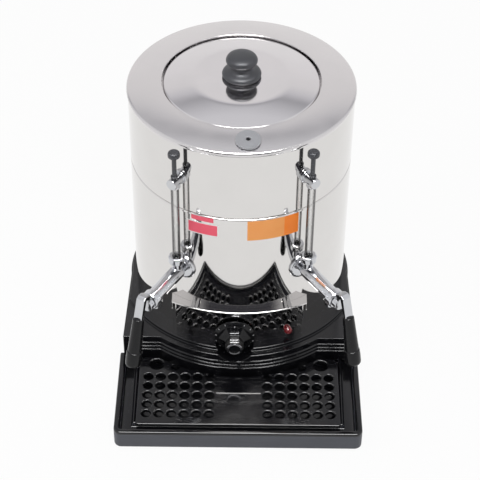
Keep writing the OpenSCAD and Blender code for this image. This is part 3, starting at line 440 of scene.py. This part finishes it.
# drip grille: a plate with rounded edges, a moulded line across its middle and holes that flare at the top
grille = {"half": 114.5, "front": 232, "back": 128, "low": 22.4, "top": 26.4, "frontCorner": 3, "backCorner": 9,
          "bulge": 158, "edge": 1.6, "flare": 1.5, "cutFoot": 20, "columns": 6, "rows": 5, "pitch": 14.1,
          "holeAt": (32.5, 159.6), "lineHalf": 25.2, "lineAt": 186, "lineWide": 1, "lineDeep": 0.8, "lineSlope": 1.5}
holes = {10.5: [(side * (grille["holeAt"][0] + grille["pitch"] * c), grille["holeAt"][1] + grille["pitch"] * r)
                for side in (-1, 1) for c in range(grille["columns"]) for r in range(grille["rows"])],
         16: [(-94.6, 140.3), (94.6, 140.3)], 9.4: [(-73, 144.5), (73, 144.5)]}     # diameter: across and out
top = grille["top"]
grillePiece = addBlock("dripGrille", (-grille["half"], axisY - grille["front"], grille["low"]),
                       (grille["half"], axisY - grille["back"], top))
middleY = axisY - (grille["front"] + grille["back"]) / 2
for near, corner in ((True, grille["frontCorner"]), (False, grille["backCorner"])):
    markEdges(grillePiece, lambda a, b: abs(a.z - b.z) > 1 and abs(a.x - b.x) < 0.1 and abs(a.y - b.y) < 0.1
              and abs(a.x) > grille["half"] - 0.1 and (a.y < middleY) == near)
    bpy.ops.mesh.bevel(offset=corner * mm, segments=8, affect="EDGES")
    bpy.ops.object.mode_set(mode="OBJECT")
clearSelection()
bpy.ops.mesh.primitive_cylinder_add(vertices=180, radius=grille["bulge"] * mm, depth=throughCut,
                                    location=(0, axisY * mm, 0))
cutAway(grillePiece, bpy.context.object)
roundEdges(grillePiece, grille["edge"], 4)
cutters = []
for across, spots in holes.items():
    wide, flare, foot = across / 2, grille["flare"], grille["cutFoot"]
    outline = [(0, foot), (wide, foot)] + arc((wide + flare, top - flare + 0.01), flare, 180, 92)
    outline += [(wide + flare + 0.1, top + 0.1), (wide + flare + 0.1, top + 1), (0, top + 1)]
    firstCutter = turnOutline("holeCutter", outline, 40, Matrix.Identity(4))
    for x, out in spots:
        cutters.append(copyTo(firstCutter, "holeCutter", Matrix.Translation((x * mm, (axisY - out) * mm, 0))))
    bpy.data.objects.remove(firstCutter)
lineFront = axisY - grille["lineAt"]
lineBack = lineFront + grille["lineWide"]
lineCutter = addBlock("lineCutter", (-grille["lineHalf"], lineFront, top - grille["lineDeep"]),
                      (grille["lineHalf"], lineBack, top + 1))
markEdges(lineCutter, lambda a, b: min(a.z, b.z) > top + 0.9 and min(a.y, b.y) > lineBack - 0.1)
lineReach = grille["lineSlope"] * (grille["lineDeep"] + 1)
bpy.ops.transform.translate(value=(0, lineReach * mm, 0))     # a slope that faces the user
bpy.ops.object.mode_set(mode="OBJECT")
clearSelection()
for cutter in cutters + [lineCutter]:
    cutter.select_set(True)
bpy.context.view_layer.objects.active = lineCutter
bpy.ops.object.join()
cutAway(grillePiece, lineCutter)
smoothShade(grillePiece, 35)
fitOut(grillePiece, "drip_grille", "black_gloss_plastic", glossBlackAbs, "drip_grille")
print("grille made")

# drip tray: a broad rim, a deep groove round the ledge that the grille lies on, and a well below it
tray = {"halfWidth": 138, "front": 245, "back": 121.6, "blockBack": 90, "foot": 2, "rim": 26.6, "corner": 8,
        "rimWidth": 6.5, "groove": 10.4, "grooveWidth": 12, "arcMerge": 2.6, "ledgeRise": 5.5, "ledge": 3,
        "wellDepth": 12.7, "wall": 3, "hollow": 4, "bulge": 151.7, "edge": 2.0}
trayPiece = addBlock("dripTray", (-tray["halfWidth"], axisY - tray["front"], tray["foot"]),
                     (tray["halfWidth"], axisY - tray["blockBack"], tray["rim"]))
frontY = axisY - tray["front"]
markEdges(trayPiece, lambda a, b: max(a.y, b.y) < frontY + 1 and abs(a.x - b.x) < 1 and abs(a.z - b.z) > 5)
bpy.ops.mesh.bevel(offset=tray["corner"] * mm, segments=8, affect="EDGES")
markFaces(trayPiece, lambda middle, normal: normal.z > 0.9)
bpy.ops.mesh.inset(thickness=tray["rimWidth"] * mm)
bpy.ops.mesh.extrude_region_move(TRANSFORM_OT_translate={"value": (0, 0, -tray["groove"] * mm)})
bpy.ops.mesh.remove_doubles(threshold=tray["arcMerge"] * mm)     # the small corner arcs would cross in the next inset
bpy.ops.mesh.inset(thickness=tray["grooveWidth"] * mm)
bpy.ops.mesh.extrude_region_move(TRANSFORM_OT_translate={"value": (0, 0, tray["ledgeRise"] * mm)})
bpy.ops.mesh.inset(thickness=tray["ledge"] * mm)
bpy.ops.mesh.extrude_region_move(TRANSFORM_OT_translate={"value": (0, 0, -tray["wellDepth"] * mm)})
markFaces(trayPiece, lambda middle, normal: normal.z < -0.9)
bpy.ops.mesh.inset(thickness=tray["wall"] * mm)
bpy.ops.mesh.extrude_region_move(TRANSFORM_OT_translate={"value": (0, 0, tray["hollow"] * mm)})
bpy.ops.mesh.select_all(action="SELECT")
bpy.ops.mesh.bisect(plane_co=(0, (axisY - tray["back"]) * mm, 0), plane_no=(0, 1, 0),
                    clear_outer=True, use_fill=True)
bpy.ops.object.mode_set(mode="OBJECT")
clearSelection()
bpy.ops.mesh.primitive_cylinder_add(vertices=180, radius=tray["bulge"] * mm, depth=throughCut,
                                    location=(0, axisY * mm, 0))
cutAway(trayPiece, bpy.context.object)
roundEdges(trayPiece, tray["edge"], 4)
fitOut(trayPiece, "urn", "black_gloss_plastic", matteAbsWithPaintedLitWalls, "tray_moulding")
print("tray made")

# control panel: mirror sheet bent round the front, with soft bends at its two ends
panel = {"halfWidth": 76, "bend": 6, "tall": 20, "frontOf": 112}
panelPiece = softCopy("control_panel", "controlPanel")
markEdges(panelPiece, lambda a, b: min(abs(a.x), abs(b.x)) > panel["halfWidth"] - 0.5
          and abs(a.z - b.z) > panel["tall"] and max(a.y, b.y) < axisY - panel["frontOf"])
bpy.ops.mesh.bevel(offset=panel["bend"] * mm, segments=8, affect="EDGES")
bpy.ops.object.mode_set(mode="OBJECT")
smoothShade(panelPiece, 35)
fitOut(panelPiece, "urn", "polished_steel", mirrorStainless, "control_panel")

# panel ledge: bright sheet whose front edge alone is rolled over, so that it shows as one line of light
ledge = {"edge": 0.9, "bodyRadius": 126.5, "overhang": 0.9}
ledgePiece = softCopy("panel_trim", "panelLedge")
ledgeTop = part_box("panel_trim")[1][2] / mm
markEdges(ledgePiece, lambda a, b: min(a.z, b.z) > ledgeTop - 0.1
          and min(math.hypot(a.x, a.y - axisY), math.hypot(b.x, b.y - axisY)) > ledge["bodyRadius"]
          and max(abs(a.x), abs(b.x)) < panel["halfWidth"] + ledge["overhang"])
bpy.ops.mesh.bevel(offset=ledge["edge"] * mm, segments=4, affect="EDGES")
bpy.ops.object.mode_set(mode="OBJECT")
smoothShade(ledgePiece, 35)
fitOut(ledgePiece, "urn", "polished_steel", mirrorStainless, "panel_trim")

# thermostat dial, made lying on its back: skirt, six-sided grip, silver bands and a bare face in a silver ring
dial = {"x": -5, "z": 68, "back": 133.6, "gripFoot": 19.6, "gripNeck": 11, "gripFront": 10.4, "gripStart": 4.6,
        "neckAt": 10.5, "front": 22.4, "gripEdge": 0.8, "bandWidth": 10.2, "bandSink": 1.2, "bandRise": 0.25,
        "bandEdge": 0.25, "bands": ((7.8, 2.6), (15.8, 1.6), (19.2, 1.6)), "ring": (6.7, 8.9), "ringFoot": 22,
        "skirt": [(0, 2.4), (10, 2.4), (10, 0), (22.3, 0), (23, 0.7), (23, 1.8), (22.4, 2.5),
                  (19.6, 4.9), (18.6, 5.2), (0, 5.2)]}
atDial = Matrix.Translation((dial["x"] * mm, (axisY - dial["back"]) * mm, dial["z"] * mm)) \
    @ Matrix.Rotation(math.pi / 2, 4, "X")
skirt = turnOutline("dialSkirt", dial["skirt"], 96, atDial)
smoothShade(skirt, 30)
fitOut(skirt, "thermostat_dial", "black_satin_plastic", buffedPhenolic, "thermostat_knob")

clearSelection()
bpy.ops.mesh.primitive_circle_add(vertices=6, radius=dial["gripFoot"] * mm, fill_type="NGON",
                                  location=(0, 0, dial["gripStart"] * mm), rotation=(0, 0, math.radians(30)))
grip = bpy.context.object
grip.name = "dialGrip"
bpy.ops.object.transform_apply(location=True, rotation=True, scale=True)
bpy.ops.object.mode_set(mode="EDIT")
bpy.ops.mesh.select_all(action="SELECT")
gripRows = [(dial["gripStart"], dial["gripFoot"]), (dial["neckAt"], dial["gripNeck"]),
            (dial["front"], dial["gripFront"])]
for (start, before), (top, radius) in zip(gripRows, gripRows[1:]):
    bpy.ops.mesh.extrude_region_move(TRANSFORM_OT_translate={"value": (0, 0, (top - start) * mm)})
    bpy.ops.transform.resize(value=(radius / before, radius / before, 1), center_override=(0, 0, top * mm))
bpy.ops.mesh.select_all(action="SELECT")
bpy.ops.mesh.normals_make_consistent(inside=False)
bpy.ops.object.mode_set(mode="OBJECT")
applyPlace(grip, atDial)
roundEdges(grip, dial["gripEdge"], 3, 20)
fitOut(grip, "thermostat_dial", "black_satin_plastic", buffedPhenolic)

apothem = math.cos(math.radians(30))
for count, (at, wide) in enumerate(dial["bands"]):
    (start, before), (top, radius) = gripRows[1:] if at > dial["neckAt"] else gripRows[:2]
    flatAt = apothem * (before + (radius - before) * (at - start) / (top - start))
    half = dial["bandWidth"] / 2
    band = addBlock(f"dialBand{count + 1}", (-half, flatAt - dial["bandSink"], at),
                    (half, flatAt + dial["bandRise"], at + wide))
    applyPlace(band, atDial)
    roundEdges(band, dial["bandEdge"], 2)
    fitOut(band, "thermostat_dial", "silver_trim", silverTrim)

(inner, outer), foot = dial["ring"], dial["ringFoot"]
ringPiece = turnOutline("dialRing", [(inner, foot), (outer, foot), (outer, foot + 0.6), (outer - 0.4, foot + 1),
                                     (inner + 0.5, foot + 1), (inner, foot + 0.7), (inner, foot)], 64, atDial)
smoothShade(ringPiece, 40)
fitOut(ringPiece, "thermostat_dial", "silver_trim", silverTrim, "knob_disc")
facePiece = turnOutline("dialFace", [(0, foot), (inner - 0.05, foot), (inner - 0.05, foot + 0.5),
                                     (inner - 0.6, foot + 0.7), (0, foot + 0.75)], 64, atDial)
smoothShade(facePiece, 40)
fitOut(facePiece, "thermostat_dial", "black_gloss_plastic", glossBlackAbs)

# pad-printed strokes round the skirt, and a pointer on top of it
strokes = {"from": 60, "to": -240, "count": 13, "inner": 20.6, "outer": 22.2, "wide": 0.55, "foot": 2.6, "top": 2.9,
           "border": 0.12, "lean": 40.6}
firstStroke = addBlock("firstStroke", (strokes["inner"], -strokes["wide"] / 2, strokes["foot"]),
                       (strokes["outer"], strokes["wide"] / 2, strokes["top"]))
markFaces(firstStroke, lambda middle, normal: normal.z > 0.9)
bpy.ops.mesh.inset(thickness=strokes["border"] * mm)
bpy.ops.object.mode_set(mode="OBJECT")
strokeEnd = Vector((strokes["outer"], 0, strokes["foot"])) * mm
lean = Matrix.Translation(strokeEnd) @ Matrix.Rotation(math.radians(strokes["lean"]), 4, "Y") \
    @ Matrix.Translation(-strokeEnd)
for count in range(strokes["count"]):
    angle = strokes["from"] + (strokes["to"] - strokes["from"]) * count / (strokes["count"] - 1)
    stroke = copyTo(firstStroke, f"dialStroke{count + 1}", atDial @ Matrix.Rotation(math.radians(angle), 4, "Z") @ lean)
    smoothShade(stroke)
    fitOut(stroke, "thermostat_dial", "white_plastic", whiteInk)
bpy.data.objects.remove(firstStroke)
pointer = {"low": (-0.5, 17.2, 5.0), "high": (0.5, 19.4, 5.45), "edge": 0.15}
pointerPiece = addBlock("dialPointer", pointer["low"], pointer["high"])
applyPlace(pointerPiece, atDial)
roundEdges(pointerPiece, pointer["edge"], 2)
fitOut(pointerPiece, "thermostat_dial", "white_plastic", whiteInk)
print("panel and dial made")

# lever grips: turned resin that swells to a separate end cap
leverGrip = {"out": 214.2, "up": 144.2, "lean": 14, "steps": 64, "outline": [
    (0, 0.3), (5.4, 0.3), (6.1, 0.9), (6.3, 2), (6.6, 9), (7.1, 22), (7.7, 36), (8.0, 41.6), (7.8, 42.2), (7.8, 42.6),
    (8.5, 43.2), (8.8, 44.6), (9.0, 50), (9.0, 57.5), (8.7, 59.6), (7.6, 61.2), (5.8, 61.9), (0, 62)]}
firstGrip = turnOutline("firstGrip", leverGrip["outline"], leverGrip["steps"], Matrix.Identity(4))
for side in sides:
    atFoot = atTap[side] @ Matrix.Translation((leverGrip["out"] * mm, 0, leverGrip["up"] * mm)) \
        @ Matrix.Rotation(math.radians(180 - leverGrip["lean"]), 4, "Y")
    gripPiece = copyTo(firstGrip, f"{side}LeverGrip", atFoot)
    smoothShade(gripPiece, 35)
    fitOut(gripPiece, f"{side}_lever", "black_satin_plastic", buffedPhenolic, f"{side}_lever_grip")
bpy.data.objects.remove(firstGrip)
print("grips turned")

# plain vinyl labels under the seam, curved to the body: angles from the front, heights and film
labels = {
    "redLabelUpper": (-25.0, -13.3, 226.4, 232.4, redVinyl), "redLabelBorder": (-27.2, -10.9, 207.2, 224.0, whiteVinyl),
    "redLabelLower": (-26.6, -11.4, 208.4, 222.8, redVinyl), "orangeLabel": (3.6, 22.5, 204.6, 231.8, paleOrangeVinyl),
    "orangeLabelEnd": (22.5, 30.3, 204.6, 231.8, orangeVinyl)}
labelFilm = {"bodyRadius": 125, "gap": 0.05, "lift": 0.18, "liftOnBorder": 0.28, "steps": 24}
for name, (start, end, low, high, film) in labels.items():
    under = labelFilm["bodyRadius"] + labelFilm["gap"]
    over = labelFilm["bodyRadius"] + labelFilm["liftOnBorder" if name == "redLabelLower" else "lift"]
    outline = [(under, low), (over, low), (over, high), (under, high), (under, low)]
    label = turnOutline(name, outline, labelFilm["steps"],
                        atAxis @ Matrix.Rotation(math.radians(end - 90), 4, "Z"), end - start)
    pick(label)
    bpy.ops.object.mode_set(mode="EDIT")
    bpy.ops.mesh.select_all(action="SELECT")
    bpy.ops.mesh.fill_holes(sides=0)
    bpy.ops.mesh.normals_make_consistent(inside=False)
    bpy.ops.object.mode_set(mode="OBJECT")
    smoothShade(label, 30)
    fitOut(label, "urn", "red_lens" if "red" in name else "white_plastic", film)
print("labels laid")

# body shells: mirror-bright sheet, rolled in on both sides of the seam
shells = {"radius": 125, "sheet": 1.2, "foot": 56, "seamLow": 233.7, "seamHigh": 234.3, "top": 323.8, "roll": 2.0,
          "lap": 7, "steps": 240}
sheet, roll = shells["sheet"], shells["roll"]
outer, inner = shells["radius"], shells["radius"] - sheet
low, high = shells["seamLow"], shells["seamHigh"]
lowerOutline = [(inner, shells["foot"]), (outer, shells["foot"])]
lowerOutline += arc((outer - roll, low - roll), roll, 0, 90)
# inside, the lower shell is set back by its own thickness and laps behind the upper one
lowerOutline += [(inner - sheet, low), (inner - sheet, low + shells["lap"]), (inner - 2 * sheet, low + shells["lap"]),
                 (inner - 2 * sheet, low - 3), (inner, low - 6), (inner, shells["foot"])]
upperOutline = [(inner, shells["top"]), (inner, high + 4), (inner - 1, high + 1)]
upperOutline += arc((outer - roll, high + roll), roll, -90, 0)
upperOutline += [(outer, shells["top"]), (inner, shells["top"])]
for name, outline, node in (("bodyLowerShell", lowerOutline, "lower_shell"),
                            ("bodyUpperShell", upperOutline, "upper_shell")):
    shell = turnOutline(name, outline, shells["steps"], atBody)
    smoothShade(shell, 30)
    fitOut(shell, "urn", "polished_steel", mirrorStainless, node)
print("body shells turned")

# top ring: turned-down lip with a rolled edge, a gentle cone and the neck that the lid drops into
ring = {"radius": 126.1, "lipFoot": 319.1, "lipSheet": 0.9, "drawnIn": 0.75, "rim": 325, "edge": 3.0, "opening": 87.5,
        "openingZ": 329.5, "neckEdge": 0.8, "neckFoot": 317.5, "potRadius": 83.5, "sheet": 1.2, "rimDrop": 0.15,
        "neckDrop": 0.13, "crown": 0.6, "crownFrom": 2.2, "crownTo": 2.6, "crownSteps": 12, "steps": 240}
radius, edge, rim, opening, neckEdge = (ring[key] for key in ("radius", "edge", "rim", "opening", "neckEdge"))
lipInside, neckTop = radius - ring["lipSheet"], ring["openingZ"]
ringOutline = [(lipInside, ring["lipFoot"]), (radius - ring["drawnIn"], ring["lipFoot"])]     # mirrors the black tray
ringOutline += arc((radius - edge, rim - edge - ring["rimDrop"]), edge, 0, 80)
crownIn = (opening + ring["crownFrom"], neckTop - ring["neckDrop"])
crownOut = (radius - ring["crownTo"], rim - ring["rimDrop"])
for k in range(ring["crownSteps"], -1, -1):     # the cone is crowned: nearly flat at the lid, steeper at the lip
    t = k / ring["crownSteps"]
    fall = (1 - ring["crown"]) * t + ring["crown"] * t * t
    ringOutline.append((crownIn[0] + (crownOut[0] - crownIn[0]) * t, crownIn[1] + (crownOut[1] - crownIn[1]) * fall))
ringOutline += arc((opening + neckEdge, neckTop - neckEdge), neckEdge, 83, 180)
neckInside, neckFoot = opening + ring["sheet"], ring["neckFoot"]
# down the neck to the pot's rim, then back along the hidden underside
ringOutline += [(opening, neckFoot + ring["sheet"]), (ring["potRadius"], neckFoot + ring["sheet"]),
                (ring["potRadius"], neckFoot), (neckInside, neckFoot), (neckInside, neckTop - 2.4),
                (radius - 2.6, rim - 1.6), (lipInside, rim - 3), (lipInside, ring["lipFoot"])]
topRing = turnOutline("topRing", ringOutline, ring["steps"], atBody)
clearSelection()
filler = {"out": 108, "turn": 2.5, "radius": 9.5, "cutAt": 327, "cutDepth": 30, "up": 327.8, "lean": 7.0, "steps": 72,
          "outline": [(2.5, 1.6), (2.5, 2.7), (2.8, 3), (12.7, 3), (13.3, 2.7), (13.5, 2.1), (13.5, 0.2), (9.2, 0.2),
                      (9.2, -6.8), (7.8, -6.8), (7.8, 1.6), (2.5, 1.6)]}
atFiller = atBody @ Matrix.Rotation(math.radians(filler["turn"] - 90), 4, "Z")
spot = atFiller @ Vector((filler["out"] * mm, 0, filler["cutAt"] * mm))
bpy.ops.mesh.primitive_cylinder_add(vertices=64, radius=filler["radius"] * mm, depth=filler["cutDepth"] * mm,
                                    location=spot)
cutAway(topRing, bpy.context.object)
smoothShade(topRing, 30)
fitOut(topRing, "urn", "polished_steel", satinStainless, "top_ring")

# filler cap: a thin soft-edged disc with a steam hole through it, on a spigot that sits in the ring
atCap = atFiller @ Matrix.Translation((filler["out"] * mm, 0, filler["up"] * mm)) \
    @ Matrix.Rotation(math.radians(filler["lean"]), 4, "Y")
capPiece = turnOutline("fillerCap", filler["outline"], filler["steps"], atCap)
smoothShade(capPiece, 35)
fitOut(capPiece, "filler_cap", "grey_cap", greyNylon, "filler_cap")

# lid: a flat centre that runs softly into a sloping shoulder and a small rolled rim
lid = {"radius": 86, "skirtFoot": 319.2, "flatRadius": 50, "topZ": 334.3, "sheet": 1, "rollOut": 3.2, "rollDown": 2.2,
       "rollZ": 325.75, "rollShare": (0.69, 0.951), "softBend": [(2, 0.08), (4.5, 0.35), (7, 0.75)], "steepening": 0.15,
       "shoulderSteps": 12, "steps": 200}
flat, top, radius, sheet, rollZ = (lid[key] for key in ("flatRadius", "topZ", "radius", "sheet", "rollZ"))
lidOutline = [(0, top - sheet), (0, top), (flat, top)] + [(flat + out, top - drop) for out, drop in lid["softBend"]]
shoulder = lidOutline[-1]
crest = (radius - lid["rollOut"] * lid["rollShare"][0], rollZ + lid["rollDown"] * lid["rollShare"][1])
for k in range(1, lid["shoulderSteps"]):     # the shoulder steepens steadily towards the rim
    t = k / lid["shoulderSteps"]
    fall = (1 - lid["steepening"]) * t + lid["steepening"] * t * t
    lidOutline.append((shoulder[0] + (crest[0] - shoulder[0]) * t, shoulder[1] + (crest[1] - shoulder[1]) * fall))
for degrees in range(72, -1, -6):     # the rolled rim, a quarter of an oval
    angle = math.radians(degrees)
    lidOutline.append((radius - lid["rollOut"] * (1 - math.cos(angle)), rollZ + lid["rollDown"] * math.sin(angle)))
# down the skirt, then back along the hidden underside
lidOutline += [(radius, lid["skirtFoot"]), (radius - sheet, lid["skirtFoot"]), (radius - sheet, rollZ),
               (radius - 3.5, rollZ + 1), (flat + 6, top - 1.8), (flat, top - sheet), (0, top - sheet)]
lidPiece = turnOutline("lidCover", lidOutline, lid["steps"], atBody)
smoothShade(lidPiece, 30)
fitOut(lidPiece, "lid", "polished_steel", buffedStainless, "lid")

# lid knob: mushroom of pressed resin on a spreading foot
knob = {"footZ": 334.3, "steps": 96, "outline": [
    (0, 0), (18.5, 0), (20.3, 0.8), (21.3, 2.2), (21.5, 3.6), (20.9, 5.2), (19.4, 6.6), (17.2, 7.6), (15, 8.4),
    (13.4, 9.6), (12.6, 11.2), (12.5, 12.6), (12.5, 13.8), (12.8, 15), (13.6, 16), (15.2, 16.8), (16.6, 17.9),
    (17.25, 19.4), (17.3, 20.9), (16.9, 22.6), (15.8, 24.3), (14, 25.6), (11.6, 26.5), (8.6, 27.1), (5, 27.4),
    (0, 27.5)]}
knobPiece = turnOutline("lidKnob", [(r, z + knob["footZ"]) for r, z in knob["outline"]], knob["steps"], atBody)
smoothShade(knobPiece, 50)
fitOut(knobPiece, "lid", "black_satin_plastic", satinPhenolic, "lid_knob")
print("ring, lid and knob turned")

# floor, light and camera
studio = {"floorSize": 14, "floorColour": "#f2f2f2", "floorRough": 0.9, "floorGlow": 0.93, "roomLight": 0.55,
          "softboxGlow": 20, "sideScreens": "#f4f4f6", "lampAim": (0, 0, 0.15)}
clearSelection()
bpy.ops.mesh.primitive_plane_add(size=studio["floorSize"], location=(0, 0, 0))
floor = bpy.context.object
floor.name = "studioFloor"
floorPaint = bpy.data.materials.new("paleFloorPaint")
floorPaint.use_nodes = True
tree = floorPaint.node_tree
paint = tree.nodes["Principled BSDF"]
paint.inputs["Base Color"].default_value = hexColour(studio["floorColour"])
paint.inputs["Roughness"].default_value = studio["floorRough"]
paint.inputs["Specular IOR Level"].default_value = 0
rays = addNode(tree, "ShaderNodeLightPath")
seen = addNode(tree, "ShaderNodeMath", {"operation": "MAXIMUM"},
               {0: rays.outputs["Is Camera Ray"], 1: rays.outputs["Is Glossy Ray"]})
seen = addNode(tree, "ShaderNodeMath", {"operation": "MAXIMUM"},
               {0: seen.outputs[0], 1: rays.outputs["Is Transmission Ray"]})
share = addNode(tree, "ShaderNodeMath", {"operation": "MULTIPLY", 1: studio["floorGlow"]}, {0: seen.outputs[0]})
white = addNode(tree, "ShaderNodeEmission", {"Color": (1, 1, 1, 1), "Strength": 1})
blend = addNode(tree, "ShaderNodeMixShader", {}, {0: share.outputs[0], 1: paint.outputs[0], 2: white.outputs[0]})
tree.links.new(blend.outputs[0], tree.nodes["Material Output"].inputs["Surface"])
floor.data.materials.append(floorPaint)

world = bpy.data.worlds.new("studioRoom")
bpy.context.scene.world = world
world.use_nodes = True
tree = world.node_tree
tree.nodes.clear()
rays = addNode(tree, "ShaderNodeLightPath")
toward = addNode(tree, "ShaderNodeSeparateXYZ", {},
                 {0: addNode(tree, "ShaderNodeTexCoord").outputs["Generated"]})
across = addNode(tree, "ShaderNodeMath", {"operation": "ABSOLUTE"}, {0: toward.outputs["X"]})

# what polished surfaces mirror: a pale wall behind, pale screens at the sides, a dim room and a broad softbox in front
roomShades = {
    "behind": ("Y", [(0.0, "#f6f6f8"), (0.34, "#ebebee"), (0.5, "#e6e6ea"), (0.57, "#d2d2d6"), (0.64, "#b4b4b8"),
                     (0.69, "#dddce0"), (0.75, "#f0eeef"), (0.88, "#f7f5f6"), (1.0, "#fbfafa")]),
    "infront": ("Z", [(0.0, "#38383d"), (0.3, "#404046"), (0.55, "#46464c"), (0.7, "#4c4c52"), (0.8, "#a0a0a5"),
                      (1.0, "#f0f0f2")])}
shaded = {}
for name, (axis, stops) in roomShades.items():
    node = addNode(tree, "ShaderNodeValToRGB", {}, {"Fac": toward.outputs[axis]})
    ramp = node.color_ramp.elements
    ramp[0].position, ramp[1].position = stops[0][0], stops[-1][0]
    ramp[0].color, ramp[1].color = hexColour(stops[0][1]), hexColour(stops[-1][1])
    for position, colour in stops[1:-1]:
        ramp.new(position).color = hexColour(colour)
    shaded[name] = node.outputs["Color"]

# soft edges of the wall, the screens and the softbox, each by direction
roomEdges = {
    "wall": (toward.outputs["Y"], -0.1, 0.15), "screens": (across.outputs[0], 0.38, 0.66),
    "boxFoot": (toward.outputs["Z"], 0.745, 0.87), "boxTop": (toward.outputs["Z"], 0.98, 0.95),
    "boxBack": (toward.outputs["Y"], -0.15, -0.25), "boxEnds": (across.outputs[0], 0.42, 0.26)}
eased = {}
for name, (value, low, high) in roomEdges.items():
    eased[name] = addNode(tree, "ShaderNodeMapRange", {"interpolation_type": "SMOOTHSTEP", "From Min": low,
                                                       "From Max": high}, {"Value": value}).outputs[0]
infront = addNode(tree, "ShaderNodeMix", {"data_type": "RGBA", 7: hexColour(studio["sideScreens"])},
                  {0: eased["screens"], 6: shaded["infront"]})
room = addNode(tree, "ShaderNodeMix", {"data_type": "RGBA"},
               {0: eased["wall"], 6: infront.outputs[2], 7: shaded["behind"]})
mirrored = addNode(tree, "ShaderNodeBackground", {"Strength": 1}, {"Color": room.outputs[2]})
panelLight = eased["boxFoot"]
for name in ("boxTop", "boxBack", "boxEnds"):
    panelLight = addNode(tree, "ShaderNodeMath", {"operation": "MULTIPLY"}, {0: panelLight, 1: eased[name]}).outputs[0]
panelLight = addNode(tree, "ShaderNodeMath", {"operation": "MULTIPLY", 1: studio["softboxGlow"]}, {0: panelLight})
glow = addNode(tree, "ShaderNodeBackground", {"Color": (1, 1, 1, 1)}, {"Strength": panelLight.outputs[0]})
mirrored = addNode(tree, "ShaderNodeAddShader", {}, {0: mirrored.outputs[0], 1: glow.outputs[0]})
even = addNode(tree, "ShaderNodeBackground", {"Color": (1, 1, 1, 1), "Strength": studio["roomLight"]})
plain = addNode(tree, "ShaderNodeBackground", {"Color": (1, 1, 1, 1), "Strength": 1})
shiny = addNode(tree, "ShaderNodeMath", {"operation": "MAXIMUM"},
                {0: rays.outputs["Is Glossy Ray"], 1: rays.outputs["Is Transmission Ray"]})
lit = addNode(tree, "ShaderNodeMixShader", {}, {0: shiny.outputs[0], 1: even.outputs[0], 2: mirrored.outputs[0]})
shown = addNode(tree, "ShaderNodeMixShader", {}, {0: rays.outputs["Is Camera Ray"], 1: lit.outputs[0],
                                                  2: plain.outputs[0]})
addNode(tree, "ShaderNodeOutputWorld", {}, {"Surface": shown.outputs[0]})

# softboxes: place, size and power, each turned to the middle of the urn
softboxes = {
    "keySoftbox": {"at": (0.25, -1.75, 2.25), "size": (0.9, 0.5), "watts": 22},
    "leftSoftbox": {"at": (-1.7, -0.6, 1.3), "size": (0.8, 1.2), "watts": 8},
}
for name, box in softboxes.items():
    clearSelection()
    bpy.ops.object.light_add(type="AREA", location=box["at"])
    lamp = bpy.context.object
    lamp.name = name
    lamp.data.shape = "RECTANGLE"
    lamp.data.size, lamp.data.size_y = box["size"]
    lamp.data.energy = box["watts"]
    lamp.visible_glossy = False     # the room's softbox already stands for it in reflections
    lamp.rotation_euler = (Vector(studio["lampAim"]) - lamp.location).to_track_quat("-Z", "Y").to_euler()

camera = {"at": (0, -1.2498, 1.2473), "pitch": 48.5, "roll": 0.6, "lens": 108.85, "sensor": 36}
clearSelection()
bpy.ops.object.camera_add(location=camera["at"])
view = bpy.context.object
tilt = Matrix.Rotation(math.radians(camera["pitch"]), 4, "X") @ Matrix.Rotation(math.radians(camera["roll"]), 4, "Z")
view.rotation_euler = tilt.to_euler()
view.data.lens = camera["lens"]
view.data.sensor_width = camera["sensor"]
bpy.context.scene.camera = view
bpy.context.scene.view_settings.view_transform = "Standard"
print("studio set")
